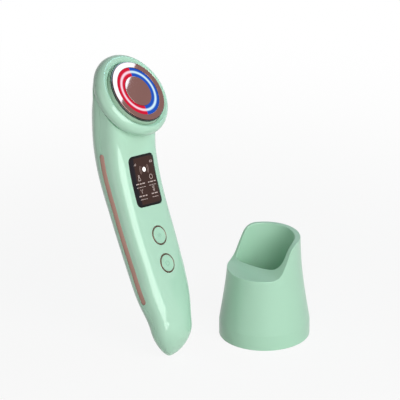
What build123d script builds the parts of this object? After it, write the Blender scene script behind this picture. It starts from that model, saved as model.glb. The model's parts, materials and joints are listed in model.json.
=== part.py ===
from build123d import *
from math import cos, pi, radians, sin, tan
import os

os.makedirs("parts", exist_ok=True)

# Facial toning device: a curved hand-held wand with a round treatment head, and its cup stand.
# All sizes are in millimetres. The stand's foot is centred on the origin and its low side faces -Y.
# The wand is drawn upright in its own frame: Z runs from the tail tip to the head, the face
# with the keys looks to -Y, and X runs across. It is put in its place as it is written.

# ---------------------------------------------------------------- where the wand stands
wand_x = -11.6
wand_y = -65.0
wand_turn = 102.6
wand_lean_back = 25.9
wand_lean_side = 10.4

# ---------------------------------------------------------------- wand body
wall = 2.2
seat_gap = 0.05
fit_gap = 0.1

# Stations up the grip: height, half width, face line, back line.
tail_end = (20.3, 14.9, -1.8, 18.0)
tail_waist = (32.3, 17.4, -2.0, 19.8)
grip_low = (52.3, 18.6, -1.3, 22.6)
grip_middle = (72.3, 19.3, -0.1, 24.1)
grip_high = (97.3, 19.3, 0.9, 26.4)
neck_low = (117.3, 19.7, 0.1, 27.3)
neck_high = (132.3, 20.0, -3.2, 26.1)
throat = (144.3, 22.4, -9.4, 22.0)
tail_pivot_y = 14.6
tail_taper = 1.3

# Powers of the oval sections: a high power is squarer.
face_roundness = 4.0
tail_roundness = 2.5
back_roundness = 2.2

# ---------------------------------------------------------------- treatment head
# Depths are measured from the face of the head, backwards along its axis.
head_height = 159.65
head_forward = 11.05
head_tilt = 17.9
collar_radius = 26.8
collar_rise = 0.8
collar_depth = 12.0
collar_front = 2.35
collar_crest_radius = 24.0
collar_widest = 7.0
collar_bore = 20.95
collar_step_bore = 20.0
collar_web = 1.8
collar_web_bore = 17.0
shell_rim_radius = 24.3
head_bulge = 16.1
head_rim_bulge = 1.0
head_taper = 2.25
disc_radius = 19.5
plate_thickness = 1.2
light_outer = 15.8
light_inner = 10.0
light_depth = 4.1
light_split_turn = -6.0
carrier_back = 5.6
carrier_flange = 1.3
bezel_width = 0.4
bezel_drop = 0.5
recess_drop = 1.5
recess_slope = 2.0
groove_width = 0.3
collar_lead = 2.6
collar_lead_drop = 1.2
led_count = 12
led_radius = 1.2
led_height = 1.1
led_board_thickness = 1.0
heater_radius = 7.0
heater_thickness = 1.0
pin_radius = 0.6
head_screw_circle = 17.9
collar_screw_circle = 18.2
screw_turns = (-90, 30, 150)
collar_boss_radius = 2.6
motor_radius = 5.0
motor_thickness = 3.4

# ---------------------------------------------------------------- keys and display
mode_height = 72.3
power_height = 54.9
key_radius = 5.1
key_gap = 0.12
key_proud = 0.5
key_dish = 0.35
key_travel = 0.6
key_flange = 0.8
key_flange_width = 0.9
key_ring_width = 0.75
key_ring_proud = 0.3
key_ring_depth = 1.5
key_guide_depth = 3.6
key_guide_wall = 1.8
stem_radius = 1.3
display_height = 106.4
display_width = 22.3
display_length = 31.0
display_corner = 3.2
window_thickness = 1.8
window_frame = 1.6
module_width = 18.6
module_length = 25.6
module_thickness = 2.4

# ---------------------------------------------------------------- side strips
strip_low = 33.5
strip_high = 125.7
strip_width = 3.6
strip_thickness = 1.0
strip_sink = 0.15
contact_height = 88.0
contact_width = 3.0
contact_sheet = 0.4

# ---------------------------------------------------------------- inside the grip
board_width = 25.0
board_front = 8.6
board_thickness = 1.0
board_low = 34.0
board_high = 129.0
tongue_low = 21.5
tongue_width = 15.0
post_across = 9.5
post_heights = (43.0, 86.0, 126.4)
post_radius = 2.2
battery_width = 22.0
battery_thickness = 7.4
battery_length = 50.0
battery_middle = 80.0
battery_tape = 1.3
cradle_rib = 1.6
switch_size = 4.5
switch_height = 2.0
port_height = 27.0
port_width = 9.2
port_thickness = 3.4
port_wall = 0.4
port_mouth_depth = 6.0
port_tongue = 0.7

# ---------------------------------------------------------------- screws, all of one size
screw_radius = 0.8
screw_length = 5.0
screw_head_radius = 1.7
screw_head_height = 1.1

# ---------------------------------------------------------------- stand
foot_radius = 27.4
foot_lift = 0.3
band_height = 9.7
waist_radius = 24.35
waist_height = 29.5
shoulder_radius = 22.5
shoulder_height = 46.0
lip_radius = 21.65
stand_height = 63.8
low_lip_height = 44.1
scoop_start = -6.4
scoop_end = 4.0
scoop_radius = 9.0
socket_floor = 18.0
socket_floor_wall = 3.0
socket_low = (15.5, 10.0, 1.0)
socket_top = (19.2, 13.4, 4.4)
base_wall = 2.9
plate_lift = 0.6
base_plate_thickness = 2.6
ballast_thickness = 11.5
post_circle = 15.0
foot_pad_radius = 22.5
foot_pad_recess = 0.4


def along(a, b, share):
    """Value at a share of the way from a to b."""
    return a + (b - a) * share


# ================================================================ frames of the wand
lean_back = Location((0, 0, 0), (-wand_lean_back, 0, 0))
lean_side = Location((0, 0, 0), (0, wand_lean_side, 0))
wand_turned = Location((0, 0, 0), (0, 0, wand_turn)) * lean_back * lean_side
tilt = radians(head_tilt)
head_point = Vector(0, -head_forward, head_height)
head_axis = Axis(head_point, (0, -cos(tilt), sin(tilt)))
head_plane = Plane(origin=head_point, x_dir=(1, 0, 0), z_dir=(0, -cos(tilt), sin(tilt)))
head_section = Plane(origin=head_point, x_dir=(1, 0, 0), z_dir=(0, -sin(tilt), -cos(tilt)))
collar_shift = Vector(0, collar_rise * sin(tilt), collar_rise * cos(tilt))
collar_axis = Axis(head_point + collar_shift, head_axis.direction)
collar_section = Plane(head_point + collar_shift, x_dir=(1, 0, 0), z_dir=head_section.z_dir)
collar_back = head_plane.offset(-collar_depth)
rim_centre_y = -head_forward + collar_depth * cos(tilt) + collar_rise * sin(tilt)
rim_centre_z = head_height - collar_depth * sin(tilt) + collar_rise * cos(tilt)


# ================================================================ outline of the wand
def tail_station(share):
    """Station on the rounded tail, whose widths shrink about the tail pivot."""
    size = cos(share * pi / 2) ** tail_taper
    height = tail_end[0] * (1 - sin(share * pi / 2))
    face = along(tail_pivot_y, tail_end[2], size)
    back = along(tail_pivot_y, tail_end[3], size)
    return (height, tail_end[1] * size, face, back)


def head_station(share):
    """Station on the rounded head, whose widest line lies on the slanted back of the collar."""
    rise = sin(share * pi / 2)
    height = rim_centre_z + shell_rim_radius * cos(tilt) * rise
    middle = rim_centre_y + shell_rim_radius * sin(tilt) * rise
    bulge = along(head_rim_bulge, head_bulge, (1 - rise) ** head_taper)
    return (height, shell_rim_radius * cos(share * pi / 2), middle - bulge, middle + bulge)


grip_stations = [tail_end, tail_waist, grip_low, grip_middle, grip_high, neck_low, neck_high, throat]
tail_stations = [tail_station(share) for share in (0.93, 0.8, 0.62, 0.42, 0.2)]
head_stations = [head_station(share) for share in (0.0, 0.2, 0.4, 0.6, 0.78, 0.92)]
wand_stations = tail_stations + grip_stations + head_stations
hollow_stations = tail_stations[3:] + grip_stations + head_stations[:2]


def section_points(station, inset):
    """Closed outline of the wand at one station: a flat-faced oval with a rounder back."""
    height, half_width, face, back = station
    middle = (face + back) / 2
    reach = (back - face) / 2 - inset
    across = half_width - inset
    blend = min(max((height - tail_end[0]) / (grip_low[0] - tail_end[0]), 0), 1)
    face_power = along(tail_roundness, face_roundness, blend)
    steps = 28
    seam = 7
    points = []
    for step in range(seam, seam + steps):
        angle = 2 * pi * step / steps
        turn = min(max(sin(angle) + 0.5, 0), 1)
        power = along(face_power, back_roundness, turn * turn * (3 - 2 * turn))
        size = (abs(cos(angle)) ** power + abs(sin(angle)) ** power) ** (-1 / power)
        points.append((across * size * cos(angle), middle + reach * size * sin(angle)))
    return points


def wand_form(stations, inset=0.0):
    """Loft of the wand's outline, drawn in by the inset."""
    with BuildPart() as form:
        for station in stations:
            with BuildSketch(Plane.XY.offset(station[0])):
                with BuildLine():
                    Spline(*section_points(station, inset), periodic=True)
                make_face()
        loft()
    return form.part


body = wand_form(wand_stations)
flush = wand_form(wand_stations, seat_gap)
core = wand_form(hollow_stations, wall / 2)
hollow = wand_form(hollow_stations, wall)
strip_outer = wand_form(hollow_stations, strip_sink)
strip_inner = wand_form(hollow_stations, strip_sink + strip_thickness)
groove_floor = wand_form(hollow_stations, strip_sink + strip_thickness + seat_gap)
skin = body.faces().sort_by(SortBy.AREA)[-1]

# The tail tip stands on the floor at its own place.
tail_tip = wand_turned * Location((0, -tail_pivot_y, 0))
tail_drop = body.moved(tail_tip).bounding_box().min.Z
wand_place = Location((wand_x, wand_y, -tail_drop)) * tail_tip


def face_plane(height):
    """Plane that lies on the face of the wand at one height, square to it."""
    ray = Axis((0, -100, height), (0, 1, 0))
    point, normal = min(skin.find_intersection_points(ray), key=lambda hit: hit[0].Y)
    return Plane(origin=point, x_dir=(1, 0, 0), z_dir=normal)


def middle_at(height):
    """Depth of the parting line at one height."""
    crossing = parting_curve.intersect(Plane.XY.offset(height))
    return crossing.Y if isinstance(crossing, Vector) else crossing.vertices()[0].Y


def flank_at(height):
    """Half width of the wand on its parting line at one height."""
    ray = Axis((-100, middle_at(height), height), (1, 0, 0))
    return max(hit[0].X for hit in skin.find_intersection_points(ray))


def on_circle(radius, turn):
    """Point on a circle, at a turn in degrees."""
    return (radius * cos(radians(turn)), radius * sin(radians(turn)))


def write(piece, name, place=Location()):
    """Label a finished piece, put it in its place and write it."""
    placed = piece.part.moved(place)
    placed.label = name
    export_step(placed, f"parts/{name}.step")


# The parting line runs up the middle of each flank and ends on the back of the collar.
parting_points = [(0, (s[2] + s[3]) / 2, s[0]) for s in tail_stations[1:] + grip_stations]
parting_points = parting_points + [(0, rim_centre_y, rim_centre_z)]
parting_curve = Spline(*parting_points)


def parting_region(reach):
    """Block on one side of the parting line, out to a depth."""
    with BuildPart() as region:
        with BuildSketch(Plane.YZ):
            with BuildLine():
                low = (parting_points[0][1], parting_points[0][2])
                top = (parting_points[-1][1], parting_points[-1][2])
                Spline(*[(p[1], p[2]) for p in parting_points])
                crown = (top[0] + 40 * tan(tilt), top[1] + 40)
                Polyline(top, crown, (reach, crown[1]), (reach, -5), (low[0], -5), low)
            make_face()
        extrude(amount=40, both=True)
    return region.part


face_side = parting_region(-60)
back_side = parting_region(80)

with BuildPart() as collar_space:
    with BuildSketch(collar_back):
        Circle(80)
    extrude(amount=60)

with BuildPart() as strip_band:
    with BuildSketch(Plane.YZ):
        with BuildLine():
            strip_shares = [step / 8 for step in range(9)]
            strip_heights = [along(strip_low, strip_high, share) for share in strip_shares]
            strip_line = Spline(*[(middle_at(z), z) for z in strip_heights])
        trace(line_width=strip_width)
        with Locations(strip_line @ 0, strip_line @ 1):
            Circle(strip_width / 2)
    extrude(amount=40, both=True)

with BuildPart() as groove_band:
    add(strip_band.part)
    offset(amount=fit_gap)

mode_plane = face_plane(mode_height)
power_plane = face_plane(power_height)
display_plane = face_plane(display_height)

with BuildPart() as strip_grooves:
    add(groove_band.part)
    add(groove_floor, mode=Mode.SUBTRACT)

contact_out = flank_at(contact_height) - strip_sink - strip_thickness - seat_gap
contact_in = board_width / 2 - 1
contact_y = middle_at(contact_height)
with BuildPart() as contact_slot:
    with BuildSketch(Plane.XZ.offset(-contact_y)):
        with Locations((0, contact_height)):
            Rectangle(2 * (contact_out + strip_thickness), contact_width + 2 * fit_gap)
    extrude(amount=contact_sheet / 2 + fit_gap, both=True)

ring_inner = key_radius + key_gap
ring_outer = ring_inner + key_ring_width
guide_radius = ring_inner + key_guide_wall
window_plane = display_plane.offset(-window_thickness)
board_plane = Plane.XZ.offset(-board_front)
board_back = board_front + board_thickness
battery_front = board_back + battery_tape
battery_back = battery_front + battery_thickness
post_places = [(side * post_across, height) for side in (-1, 1) for height in post_heights]


# ================================================================ front shell
with BuildPart() as front_ribs:
    # guide tubes behind the keys
    for key_plane in (mode_plane, power_plane):
        with BuildSketch(key_plane.offset(-key_guide_depth)):
            Circle(guide_radius)
        extrude(amount=key_guide_depth)
    # frame that the display window lies on
    with BuildSketch(window_plane.offset(-window_frame)):
        RectangleRounded(display_width + wall, display_length + wall, display_corner + wall / 2)
    extrude(amount=window_frame + window_thickness)
    # posts that carry the main board
    with BuildSketch(board_plane):
        with Locations(*post_places):
            Circle(post_radius)
    extrude(amount=2 * board_front)
    # boss for the lowest collar screw
    with BuildSketch(collar_back):
        with Locations(on_circle(collar_screw_circle, screw_turns[0])):
            Circle(collar_boss_radius)
    extrude(amount=-screw_length)
    add(core, mode=Mode.INTERSECT)
    add(face_side, mode=Mode.INTERSECT)

with BuildPart() as front_cuts:
    add(strip_grooves.part)
    add(contact_slot.part)
    for key_plane in (mode_plane, power_plane):
        with BuildSketch(key_plane.offset(-key_ring_depth)):
            Circle(ring_outer + seat_gap)
        extrude(amount=3 * key_ring_depth)
        with BuildSketch(key_plane):
            Circle(ring_inner)
        extrude(amount=-2 * key_guide_depth)
    with BuildSketch(window_plane):
        RectangleRounded(display_width + 2 * fit_gap, display_length + 2 * fit_gap, display_corner + fit_gap)
    extrude(amount=3 * window_thickness)
    with BuildSketch(window_plane):
        Rectangle(module_width + 2 * fit_gap, module_length + 2 * fit_gap)
    extrude(amount=-3 * window_frame)
    with BuildSketch(board_plane):
        with Locations(*post_places):
            Circle(screw_radius + seat_gap)
    extrude(amount=screw_length - board_thickness)
    with BuildSketch(collar_back):
        with Locations(on_circle(collar_screw_circle, screw_turns[0])):
            Circle(screw_radius + seat_gap)
    extrude(amount=-screw_length)

with BuildPart() as front_shell:
    add(body)
    add(hollow, mode=Mode.SUBTRACT)
    add(face_side, mode=Mode.INTERSECT)
    add(front_ribs.part)
    add(collar_space.part, mode=Mode.SUBTRACT)
    add(front_cuts.part, mode=Mode.SUBTRACT)
write(front_shell, "front_shell", wand_place)


# ================================================================ back shell
with BuildPart() as back_ribs:
    # cradle that the battery lies in
    for share in (-0.3, 0.3):
        with BuildSketch(Plane.XY.offset(battery_middle + share * battery_length)):
            with Locations((0, battery_back + seat_gap)):
                Rectangle(battery_width, 2 * battery_thickness, align=(Align.CENTER, Align.MIN))
        extrude(amount=cradle_rib)
    # bosses for the two upper collar screws
    with BuildSketch(collar_back):
        for turn in screw_turns[1:]:
            with Locations(on_circle(collar_screw_circle, turn)):
                Circle(collar_boss_radius)
    extrude(amount=-head_bulge)
    add(core, mode=Mode.INTERSECT)

with BuildPart() as back_cuts:
    add(strip_grooves.part)
    add(contact_slot.part)
    with BuildSketch(collar_back):
        for turn in screw_turns[1:]:
            with Locations(on_circle(collar_screw_circle, turn)):
                Circle(screw_radius + seat_gap)
    extrude(amount=-(screw_length - collar_web))
    # mouth of the charging socket
    with BuildSketch(Plane.XZ.offset(-tail_pivot_y)):
        with Locations((0, port_height)):
            SlotOverall(port_width + 2 * fit_gap, port_thickness + 2 * fit_gap)
    extrude(amount=-tail_pivot_y)

with BuildPart() as back_shell:
    add(body)
    add(hollow, mode=Mode.SUBTRACT)
    add(back_ribs.part)
    add(back_side, mode=Mode.INTERSECT)
    add(collar_space.part, mode=Mode.SUBTRACT)
    add(back_cuts.part, mode=Mode.SUBTRACT)
write(back_shell, "back_shell", wand_place)


# ================================================================ side strips
for side, name in ((-1, "side_strip_left"), (1, "side_strip_right")):
    with BuildPart() as side_strip:
        add(strip_band.part)
        split(bisect_by=Plane.YZ, keep=Keep.TOP if side > 0 else Keep.BOTTOM)
        add(strip_outer, mode=Mode.INTERSECT)
        add(strip_inner, mode=Mode.SUBTRACT)
    write(side_strip, name, wand_place)

with BuildPart() as strip_contacts:
    for side in (-1, 1):
        with BuildSketch(Plane.XY.offset(contact_height - contact_width / 2)):
            with BuildLine():
                bend = (side * contact_in, contact_y)
                Polyline((side * contact_out, contact_y), bend, (side * contact_in, board_back))
            trace(line_width=contact_sheet)
        extrude(amount=contact_width)
write(strip_contacts, "strip_contacts", wand_place)


# ================================================================ keys
keys = ((mode_plane, "mode_button"), (power_plane, "power_button"))
for key_plane, name in keys:
    stem_depth = board_front - switch_height - key_plane.origin.Y - key_travel - 4 * seat_gap
    dish_radius = (key_radius**2 + key_dish**2) / (2 * key_dish)
    with BuildPart() as key:
        with BuildSketch(key_plane.offset(key_proud)):
            Circle(key_radius)
        extrude(amount=-(key_proud + key_guide_depth + seat_gap + key_flange))
        with BuildSketch(key_plane.offset(-(key_guide_depth + seat_gap))):
            Circle(key_radius + key_flange_width)
        extrude(amount=-key_flange)
        with BuildSketch(key_plane):
            Circle(stem_radius)
        extrude(amount=-stem_depth)
        with Locations(key_plane.offset(key_proud - key_dish + dish_radius)):
            Sphere(dish_radius, mode=Mode.SUBTRACT)
    write(key, name, wand_place)

    with BuildPart() as key_ring:
        with BuildSketch(key_plane.offset(-key_ring_depth)):
            Circle(ring_outer)
            Circle(ring_inner, mode=Mode.SUBTRACT)
        extrude(amount=key_ring_depth + key_ring_proud)
        chamfer(key_ring.faces().sort_by(Axis(key_plane.origin, key_plane.z_dir))[-1].edges(), 0.15)
    write(key_ring, name + "_ring", wand_place)

with BuildPart() as tact_switches:
    for key_plane, name in keys:
        reach = board_front - key_plane.origin.Y
        axis_height = key_plane.origin.Z - reach * key_plane.z_dir.Z
        with BuildSketch(board_plane):
            with Locations((0, axis_height)):
                Rectangle(switch_size, switch_size)
        extrude(amount=switch_height / 2)
        with BuildSketch(board_plane):
            with Locations((0, axis_height)):
                Circle(stem_radius)
        extrude(amount=switch_height)
write(tact_switches, "tact_switches", wand_place)


# ================================================================ display
with BuildPart() as display_window:
    with BuildSketch(window_plane):
        RectangleRounded(display_width, display_length, display_corner)
    extrude(amount=3 * window_thickness)
    add(flush, mode=Mode.INTERSECT)
write(display_window, "display_window", wand_place)

with BuildPart() as display_module:
    with BuildSketch(window_plane):
        Rectangle(module_width, module_length)
    extrude(amount=-module_thickness)
    with BuildSketch(board_plane):
        for step in (-1, 1):
            with Locations((0, display_height + step * module_length / 3)):
                Rectangle(module_width * 0.7, 2 * module_thickness)
    extrude(until=Until.NEXT)
write(display_module, "display_module", wand_place)


# ================================================================ board and battery
with BuildPart() as main_board:
    with BuildSketch(board_plane):
        with Locations((0, board_low)):
            Rectangle(board_width, board_high - board_low, align=(Align.CENTER, Align.MIN))
        with Locations((0, tongue_low)):
            Rectangle(tongue_width, board_low - tongue_low, align=(Align.CENTER, Align.MIN))
        with Locations(*post_places):
            Circle(screw_radius + seat_gap, mode=Mode.SUBTRACT)
    extrude(amount=-board_thickness)
write(main_board, "main_board", wand_place)


def screws(head_plane_at, places):
    """Pan-head screws whose heads sit on a plane and whose shanks point along its normal."""
    with BuildPart() as group:
        with BuildSketch(head_plane_at):
            with Locations(*places):
                Circle(screw_radius)
        extrude(amount=screw_length)
        with BuildSketch(head_plane_at):
            with Locations(*places):
                Circle(screw_head_radius)
        extrude(amount=-screw_head_height)
    return group


board_screws = screws(Plane.XZ.offset(-board_back), post_places)
write(board_screws, "board_screws", wand_place)

with BuildPart() as battery:
    with BuildSketch(Plane.XY.offset(battery_middle - battery_length / 2)):
        with Locations((0, battery_front + battery_thickness / 2)):
            RectangleRounded(battery_width, battery_thickness, battery_thickness / 4)
    extrude(amount=battery_length)
write(battery, "battery", wand_place)

with BuildPart() as battery_pad:
    with BuildSketch(Plane.XZ.offset(-battery_front)):
        with Locations((0, battery_middle)):
            Rectangle(battery_width * 0.6, battery_length * 0.7)
    extrude(amount=battery_tape)
write(battery_pad, "battery_pad", wand_place)

with BuildPart() as charge_socket:
    with BuildSketch(Plane.XZ.offset(-board_back)):
        with Locations((0, port_height)):
            SlotOverall(port_width, port_thickness)
    extrude(amount=-2 * tail_pivot_y)
    add(strip_outer, mode=Mode.INTERSECT)
    mouth = charge_socket.part.bounding_box().max.Y
    with BuildSketch(Plane.XZ.offset(-mouth)):
        with Locations((0, port_height)):
            SlotOverall(port_width - 2 * port_wall, port_thickness - 2 * port_wall)
    extrude(amount=port_mouth_depth, mode=Mode.SUBTRACT)
    with BuildSketch(Plane.XZ.offset(port_mouth_depth - mouth)):
        with Locations((0, port_height)):
            Rectangle(port_width * 0.7, port_tongue)
    extrude(amount=-port_mouth_depth * 0.8)
write(charge_socket, "charge_socket", wand_place)


# ================================================================ treatment head
ring_seat = carrier_back - carrier_flange
bezel_inner = disc_radius + fit_gap
bezel_outer = bezel_inner + bezel_width
recess_inner = bezel_outer + fit_gap
recess_outer = collar_bore - groove_width
light_middle = (light_inner + light_outer) / 2
led_places = [on_circle(light_middle, 360 * (n + 0.5) / led_count) for n in range(led_count)]
pin_places = [on_circle(radius, 90) for radius in ((heater_radius + light_inner) / 2, head_screw_circle)]
head_screw_places = [on_circle(head_screw_circle, turn) for turn in screw_turns]
collar_screw_places = [on_circle(collar_screw_circle, turn) for turn in screw_turns]
led_board_back = carrier_back + led_board_thickness
web_front = collar_depth - collar_web

with BuildPart() as head_collar:
    with BuildSketch(collar_section):
        with BuildLine():
            Polyline(
                (collar_crest_radius, -collar_front),
                (0, -collar_front),
                (0, -collar_depth),
                (shell_rim_radius, -collar_depth),
            )
            Spline(
                (collar_crest_radius, -collar_front),
                (along(collar_crest_radius, collar_radius, 0.5), -along(collar_front, collar_widest, 0.24)),
                (collar_radius, -collar_widest),
                (along(shell_rim_radius, collar_radius, 0.5), -along(collar_depth, collar_widest, 0.25)),
                (shell_rim_radius, -collar_depth),
            )
        make_face()
    revolve(axis=collar_axis)
    with BuildSketch(head_section):
        with BuildLine():
            Polyline(
                (0, 0),
                (collar_bore + collar_lead, 0),
                (collar_bore + collar_lead, -collar_front),
                (collar_bore, -collar_front - collar_lead_drop),
                (collar_bore, -carrier_back),
                (collar_step_bore, -carrier_back),
                (collar_step_bore, -web_front),
                (collar_web_bore, -web_front),
                (collar_web_bore, -2 * collar_depth),
                (0, -2 * collar_depth),
                (0, 0),
            )
        make_face()
    revolve(axis=head_axis, mode=Mode.SUBTRACT)
    with BuildSketch(collar_back):
        with Locations(*collar_screw_places):
            Circle(screw_radius + seat_gap)
    extrude(amount=collar_web, mode=Mode.SUBTRACT)
write(head_collar, "head_collar", wand_place)

with BuildPart() as recess_ring:
    with BuildSketch(head_section):
        with BuildLine():
            Polyline(
                (recess_inner, -recess_drop),
                (recess_outer, -recess_drop - recess_slope),
                (recess_outer, -ring_seat),
                (recess_inner, -ring_seat),
                (recess_inner, -recess_drop),
            )
        make_face()
    revolve(axis=head_axis)
write(recess_ring, "recess_ring", wand_place)

with BuildPart() as bezel_ring:
    with BuildSketch(head_plane.offset(-ring_seat)):
        Circle(bezel_outer)
        Circle(bezel_inner, mode=Mode.SUBTRACT)
    extrude(amount=ring_seat - bezel_drop)
    chamfer(bezel_ring.edges().group_by(head_axis)[-1], bezel_width / 4)
write(bezel_ring, "bezel_ring", wand_place)

with BuildPart() as outer_electrode:
    with BuildSketch(head_plane):
        Circle(disc_radius)
        Circle(light_outer + fit_gap, mode=Mode.SUBTRACT)
    extrude(amount=-plate_thickness)
write(outer_electrode, "outer_electrode", wand_place)

with BuildPart() as centre_electrode:
    with BuildSketch(head_plane):
        Circle(light_inner - fit_gap)
    extrude(amount=-plate_thickness)
write(centre_electrode, "centre_electrode", wand_place)

light_split = Plane(origin=head_point, x_dir=head_plane.z_dir, z_dir=(1, 0, 0))
light_split = light_split.rotated((light_split_turn, 0, 0))
for keep, name in ((Keep.BOTTOM, "light_guide_red"), (Keep.TOP, "light_guide_blue")):
    with BuildPart() as light_guide:
        with BuildSketch(head_plane):
            Circle(light_outer)
            Circle(light_inner, mode=Mode.SUBTRACT)
        extrude(amount=-light_depth)
        split(bisect_by=light_split, keep=keep)
    write(light_guide, name, wand_place)

with BuildPart() as disc_carrier:
    with BuildSketch(head_plane.offset(-carrier_back)):
        Circle(disc_radius)
    extrude(amount=carrier_back - plate_thickness)
    with BuildSketch(head_plane.offset(-carrier_back)):
        Circle(collar_bore - fit_gap)
    extrude(amount=carrier_flange)
    with BuildSketch(head_plane.offset(-light_depth)):
        Circle(light_outer + fit_gap)
        Circle(light_inner - fit_gap, mode=Mode.SUBTRACT)
    extrude(amount=light_depth, mode=Mode.SUBTRACT)
    with BuildSketch(head_plane.offset(-plate_thickness)):
        Circle(heater_radius + fit_gap)
    extrude(amount=-heater_thickness, mode=Mode.SUBTRACT)
    with BuildSketch(head_plane.offset(-carrier_back)):
        with Locations(*led_places):
            Circle(led_radius + fit_gap)
        with Locations(*pin_places):
            Circle(pin_radius + seat_gap)
        with Locations(*head_screw_places):
            Circle(screw_radius + seat_gap)
    extrude(amount=carrier_back - plate_thickness, mode=Mode.SUBTRACT)
write(disc_carrier, "disc_carrier", wand_place)

with BuildPart() as heater_plate:
    with BuildSketch(head_plane.offset(-plate_thickness)):
        Circle(heater_radius)
    extrude(amount=-heater_thickness)
write(heater_plate, "heater_plate", wand_place)

with BuildPart() as led_board:
    with BuildSketch(head_plane.offset(-carrier_back)):
        Circle(head_screw_circle + screw_head_radius)
        with Locations(*pin_places):
            Circle(pin_radius + seat_gap, mode=Mode.SUBTRACT)
        with Locations(*head_screw_places):
            Circle(screw_radius + seat_gap, mode=Mode.SUBTRACT)
    extrude(amount=-led_board_thickness)
write(led_board, "led_board", wand_place)

with BuildPart() as head_leds:
    with BuildSketch(head_plane.offset(-carrier_back)):
        with Locations(*led_places):
            Circle(led_radius)
    extrude(amount=led_height)
write(head_leds, "head_leds", wand_place)

with BuildPart() as electrode_pins:
    with BuildSketch(head_plane.offset(-plate_thickness)):
        with Locations(*pin_places):
            Circle(pin_radius)
    extrude(amount=-(led_board_back - plate_thickness + pin_radius))
write(electrode_pins, "electrode_pins", wand_place)

with BuildPart() as vibration_motor:
    with BuildSketch(head_plane.offset(-led_board_back)):
        Circle(motor_radius)
    extrude(amount=-motor_thickness)
write(vibration_motor, "vibration_motor", wand_place)

write(screws(head_plane.offset(-led_board_back), head_screw_places), "head_screws", wand_place)
collar_screw_seat = head_plane.offset(-web_front)
collar_screw_plane = Plane(collar_screw_seat.origin, x_dir=(-1, 0, 0), z_dir=-collar_screw_seat.z_dir)
mirrored_places = [(-x, y) for x, y in collar_screw_places]
write(screws(collar_screw_plane, mirrored_places), "collar_screws", wand_place)


# ================================================================ stand
body_bottom = foot_lift
plate_top = plate_lift + base_plate_thickness
pad_top = plate_lift + foot_pad_recess
pocket_top = socket_floor - socket_floor_wall
pocket_radius = foot_radius - base_wall
stand_post_places = [on_circle(post_circle, turn) for turn in (90, 210, 330)]

with BuildPart() as stand_body:
    with BuildSketch(Plane.XZ):
        with BuildLine():
            wide_top = stand_height + foot_lift
            Polyline((lip_radius, wide_top), (0, wide_top), (0, body_bottom), (foot_radius, body_bottom))
            Line((foot_radius, body_bottom), (foot_radius, band_height))
            Spline(
                (foot_radius, band_height),
                (waist_radius, waist_height),
                (shoulder_radius, shoulder_height),
                (lip_radius, wide_top),
            )
        make_face()
    revolve(axis=Axis.Z)
    # scoop, low at the front and high at the back
    with BuildSketch(Plane.YZ):
        with BuildLine():
            FilletPolyline(
                (-2 * foot_radius, low_lip_height),
                (scoop_start, low_lip_height),
                (scoop_end, stand_height),
                (2 * foot_radius, stand_height),
                radius=scoop_radius,
            )
            Polyline(
                (2 * foot_radius, stand_height),
                (2 * foot_radius, 2 * stand_height),
                (-2 * foot_radius, 2 * stand_height),
                (-2 * foot_radius, low_lip_height),
            )
        make_face()
    extrude(amount=2 * foot_radius, both=True, mode=Mode.SUBTRACT)
    # socket for the tail of the wand
    for height, ellipse in ((socket_floor, socket_low), (stand_height + foot_lift, socket_top)):
        with BuildSketch(Plane.XY.offset(height)):
            with Locations((0, ellipse[2])):
                Ellipse(ellipse[0], ellipse[1])
    loft(mode=Mode.SUBTRACT)
    # pocket for the ballast, and the posts that pass through it
    with BuildSketch(Plane.XY):
        Circle(pocket_radius)
    extrude(amount=pocket_top, mode=Mode.SUBTRACT)
    with BuildSketch(Plane.XY.offset(plate_top)):
        with Locations(*stand_post_places):
            Circle(post_radius)
    extrude(amount=pocket_top - plate_top)
    with BuildSketch(Plane.XY.offset(plate_top)):
        with Locations(*stand_post_places):
            Circle(screw_radius + seat_gap)
    extrude(amount=screw_length, mode=Mode.SUBTRACT)
write(stand_body, "stand_body")

with BuildPart() as stand_ballast:
    with BuildSketch(Plane.XY.offset(plate_top)):
        Circle(pocket_radius - 2 * fit_gap)
        with Locations(*stand_post_places):
            Circle(post_radius + 2 * fit_gap, mode=Mode.SUBTRACT)
    extrude(amount=ballast_thickness)
write(stand_ballast, "stand_ballast")

with BuildPart() as stand_base_plate:
    with BuildSketch(Plane.XY.offset(plate_lift)):
        Circle(pocket_radius - fit_gap)
    extrude(amount=base_plate_thickness)
    with BuildSketch(Plane.XY.offset(plate_lift)):
        Circle(foot_pad_radius + fit_gap)
    extrude(amount=foot_pad_recess, mode=Mode.SUBTRACT)
    with BuildSketch(Plane.XY.offset(pad_top)):
        with Locations(*stand_post_places):
            Circle(screw_head_radius + fit_gap)
    extrude(amount=screw_head_height, mode=Mode.SUBTRACT)
    with BuildSketch(Plane.XY.offset(pad_top)):
        with Locations(*stand_post_places):
            Circle(screw_radius + seat_gap)
    extrude(amount=base_plate_thickness, mode=Mode.SUBTRACT)
write(stand_base_plate, "stand_base_plate")

write(screws(Plane.XY.offset(pad_top + screw_head_height), stand_post_places), "stand_screws")

with BuildPart() as stand_foot_pad:
    with BuildSketch(Plane.XY):
        Circle(foot_pad_radius)
    extrude(amount=pad_top)
write(stand_foot_pad, "stand_foot_pad")
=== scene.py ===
import json
import math
import bpy
import numpy as np
from mathutils import Matrix, Vector


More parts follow.
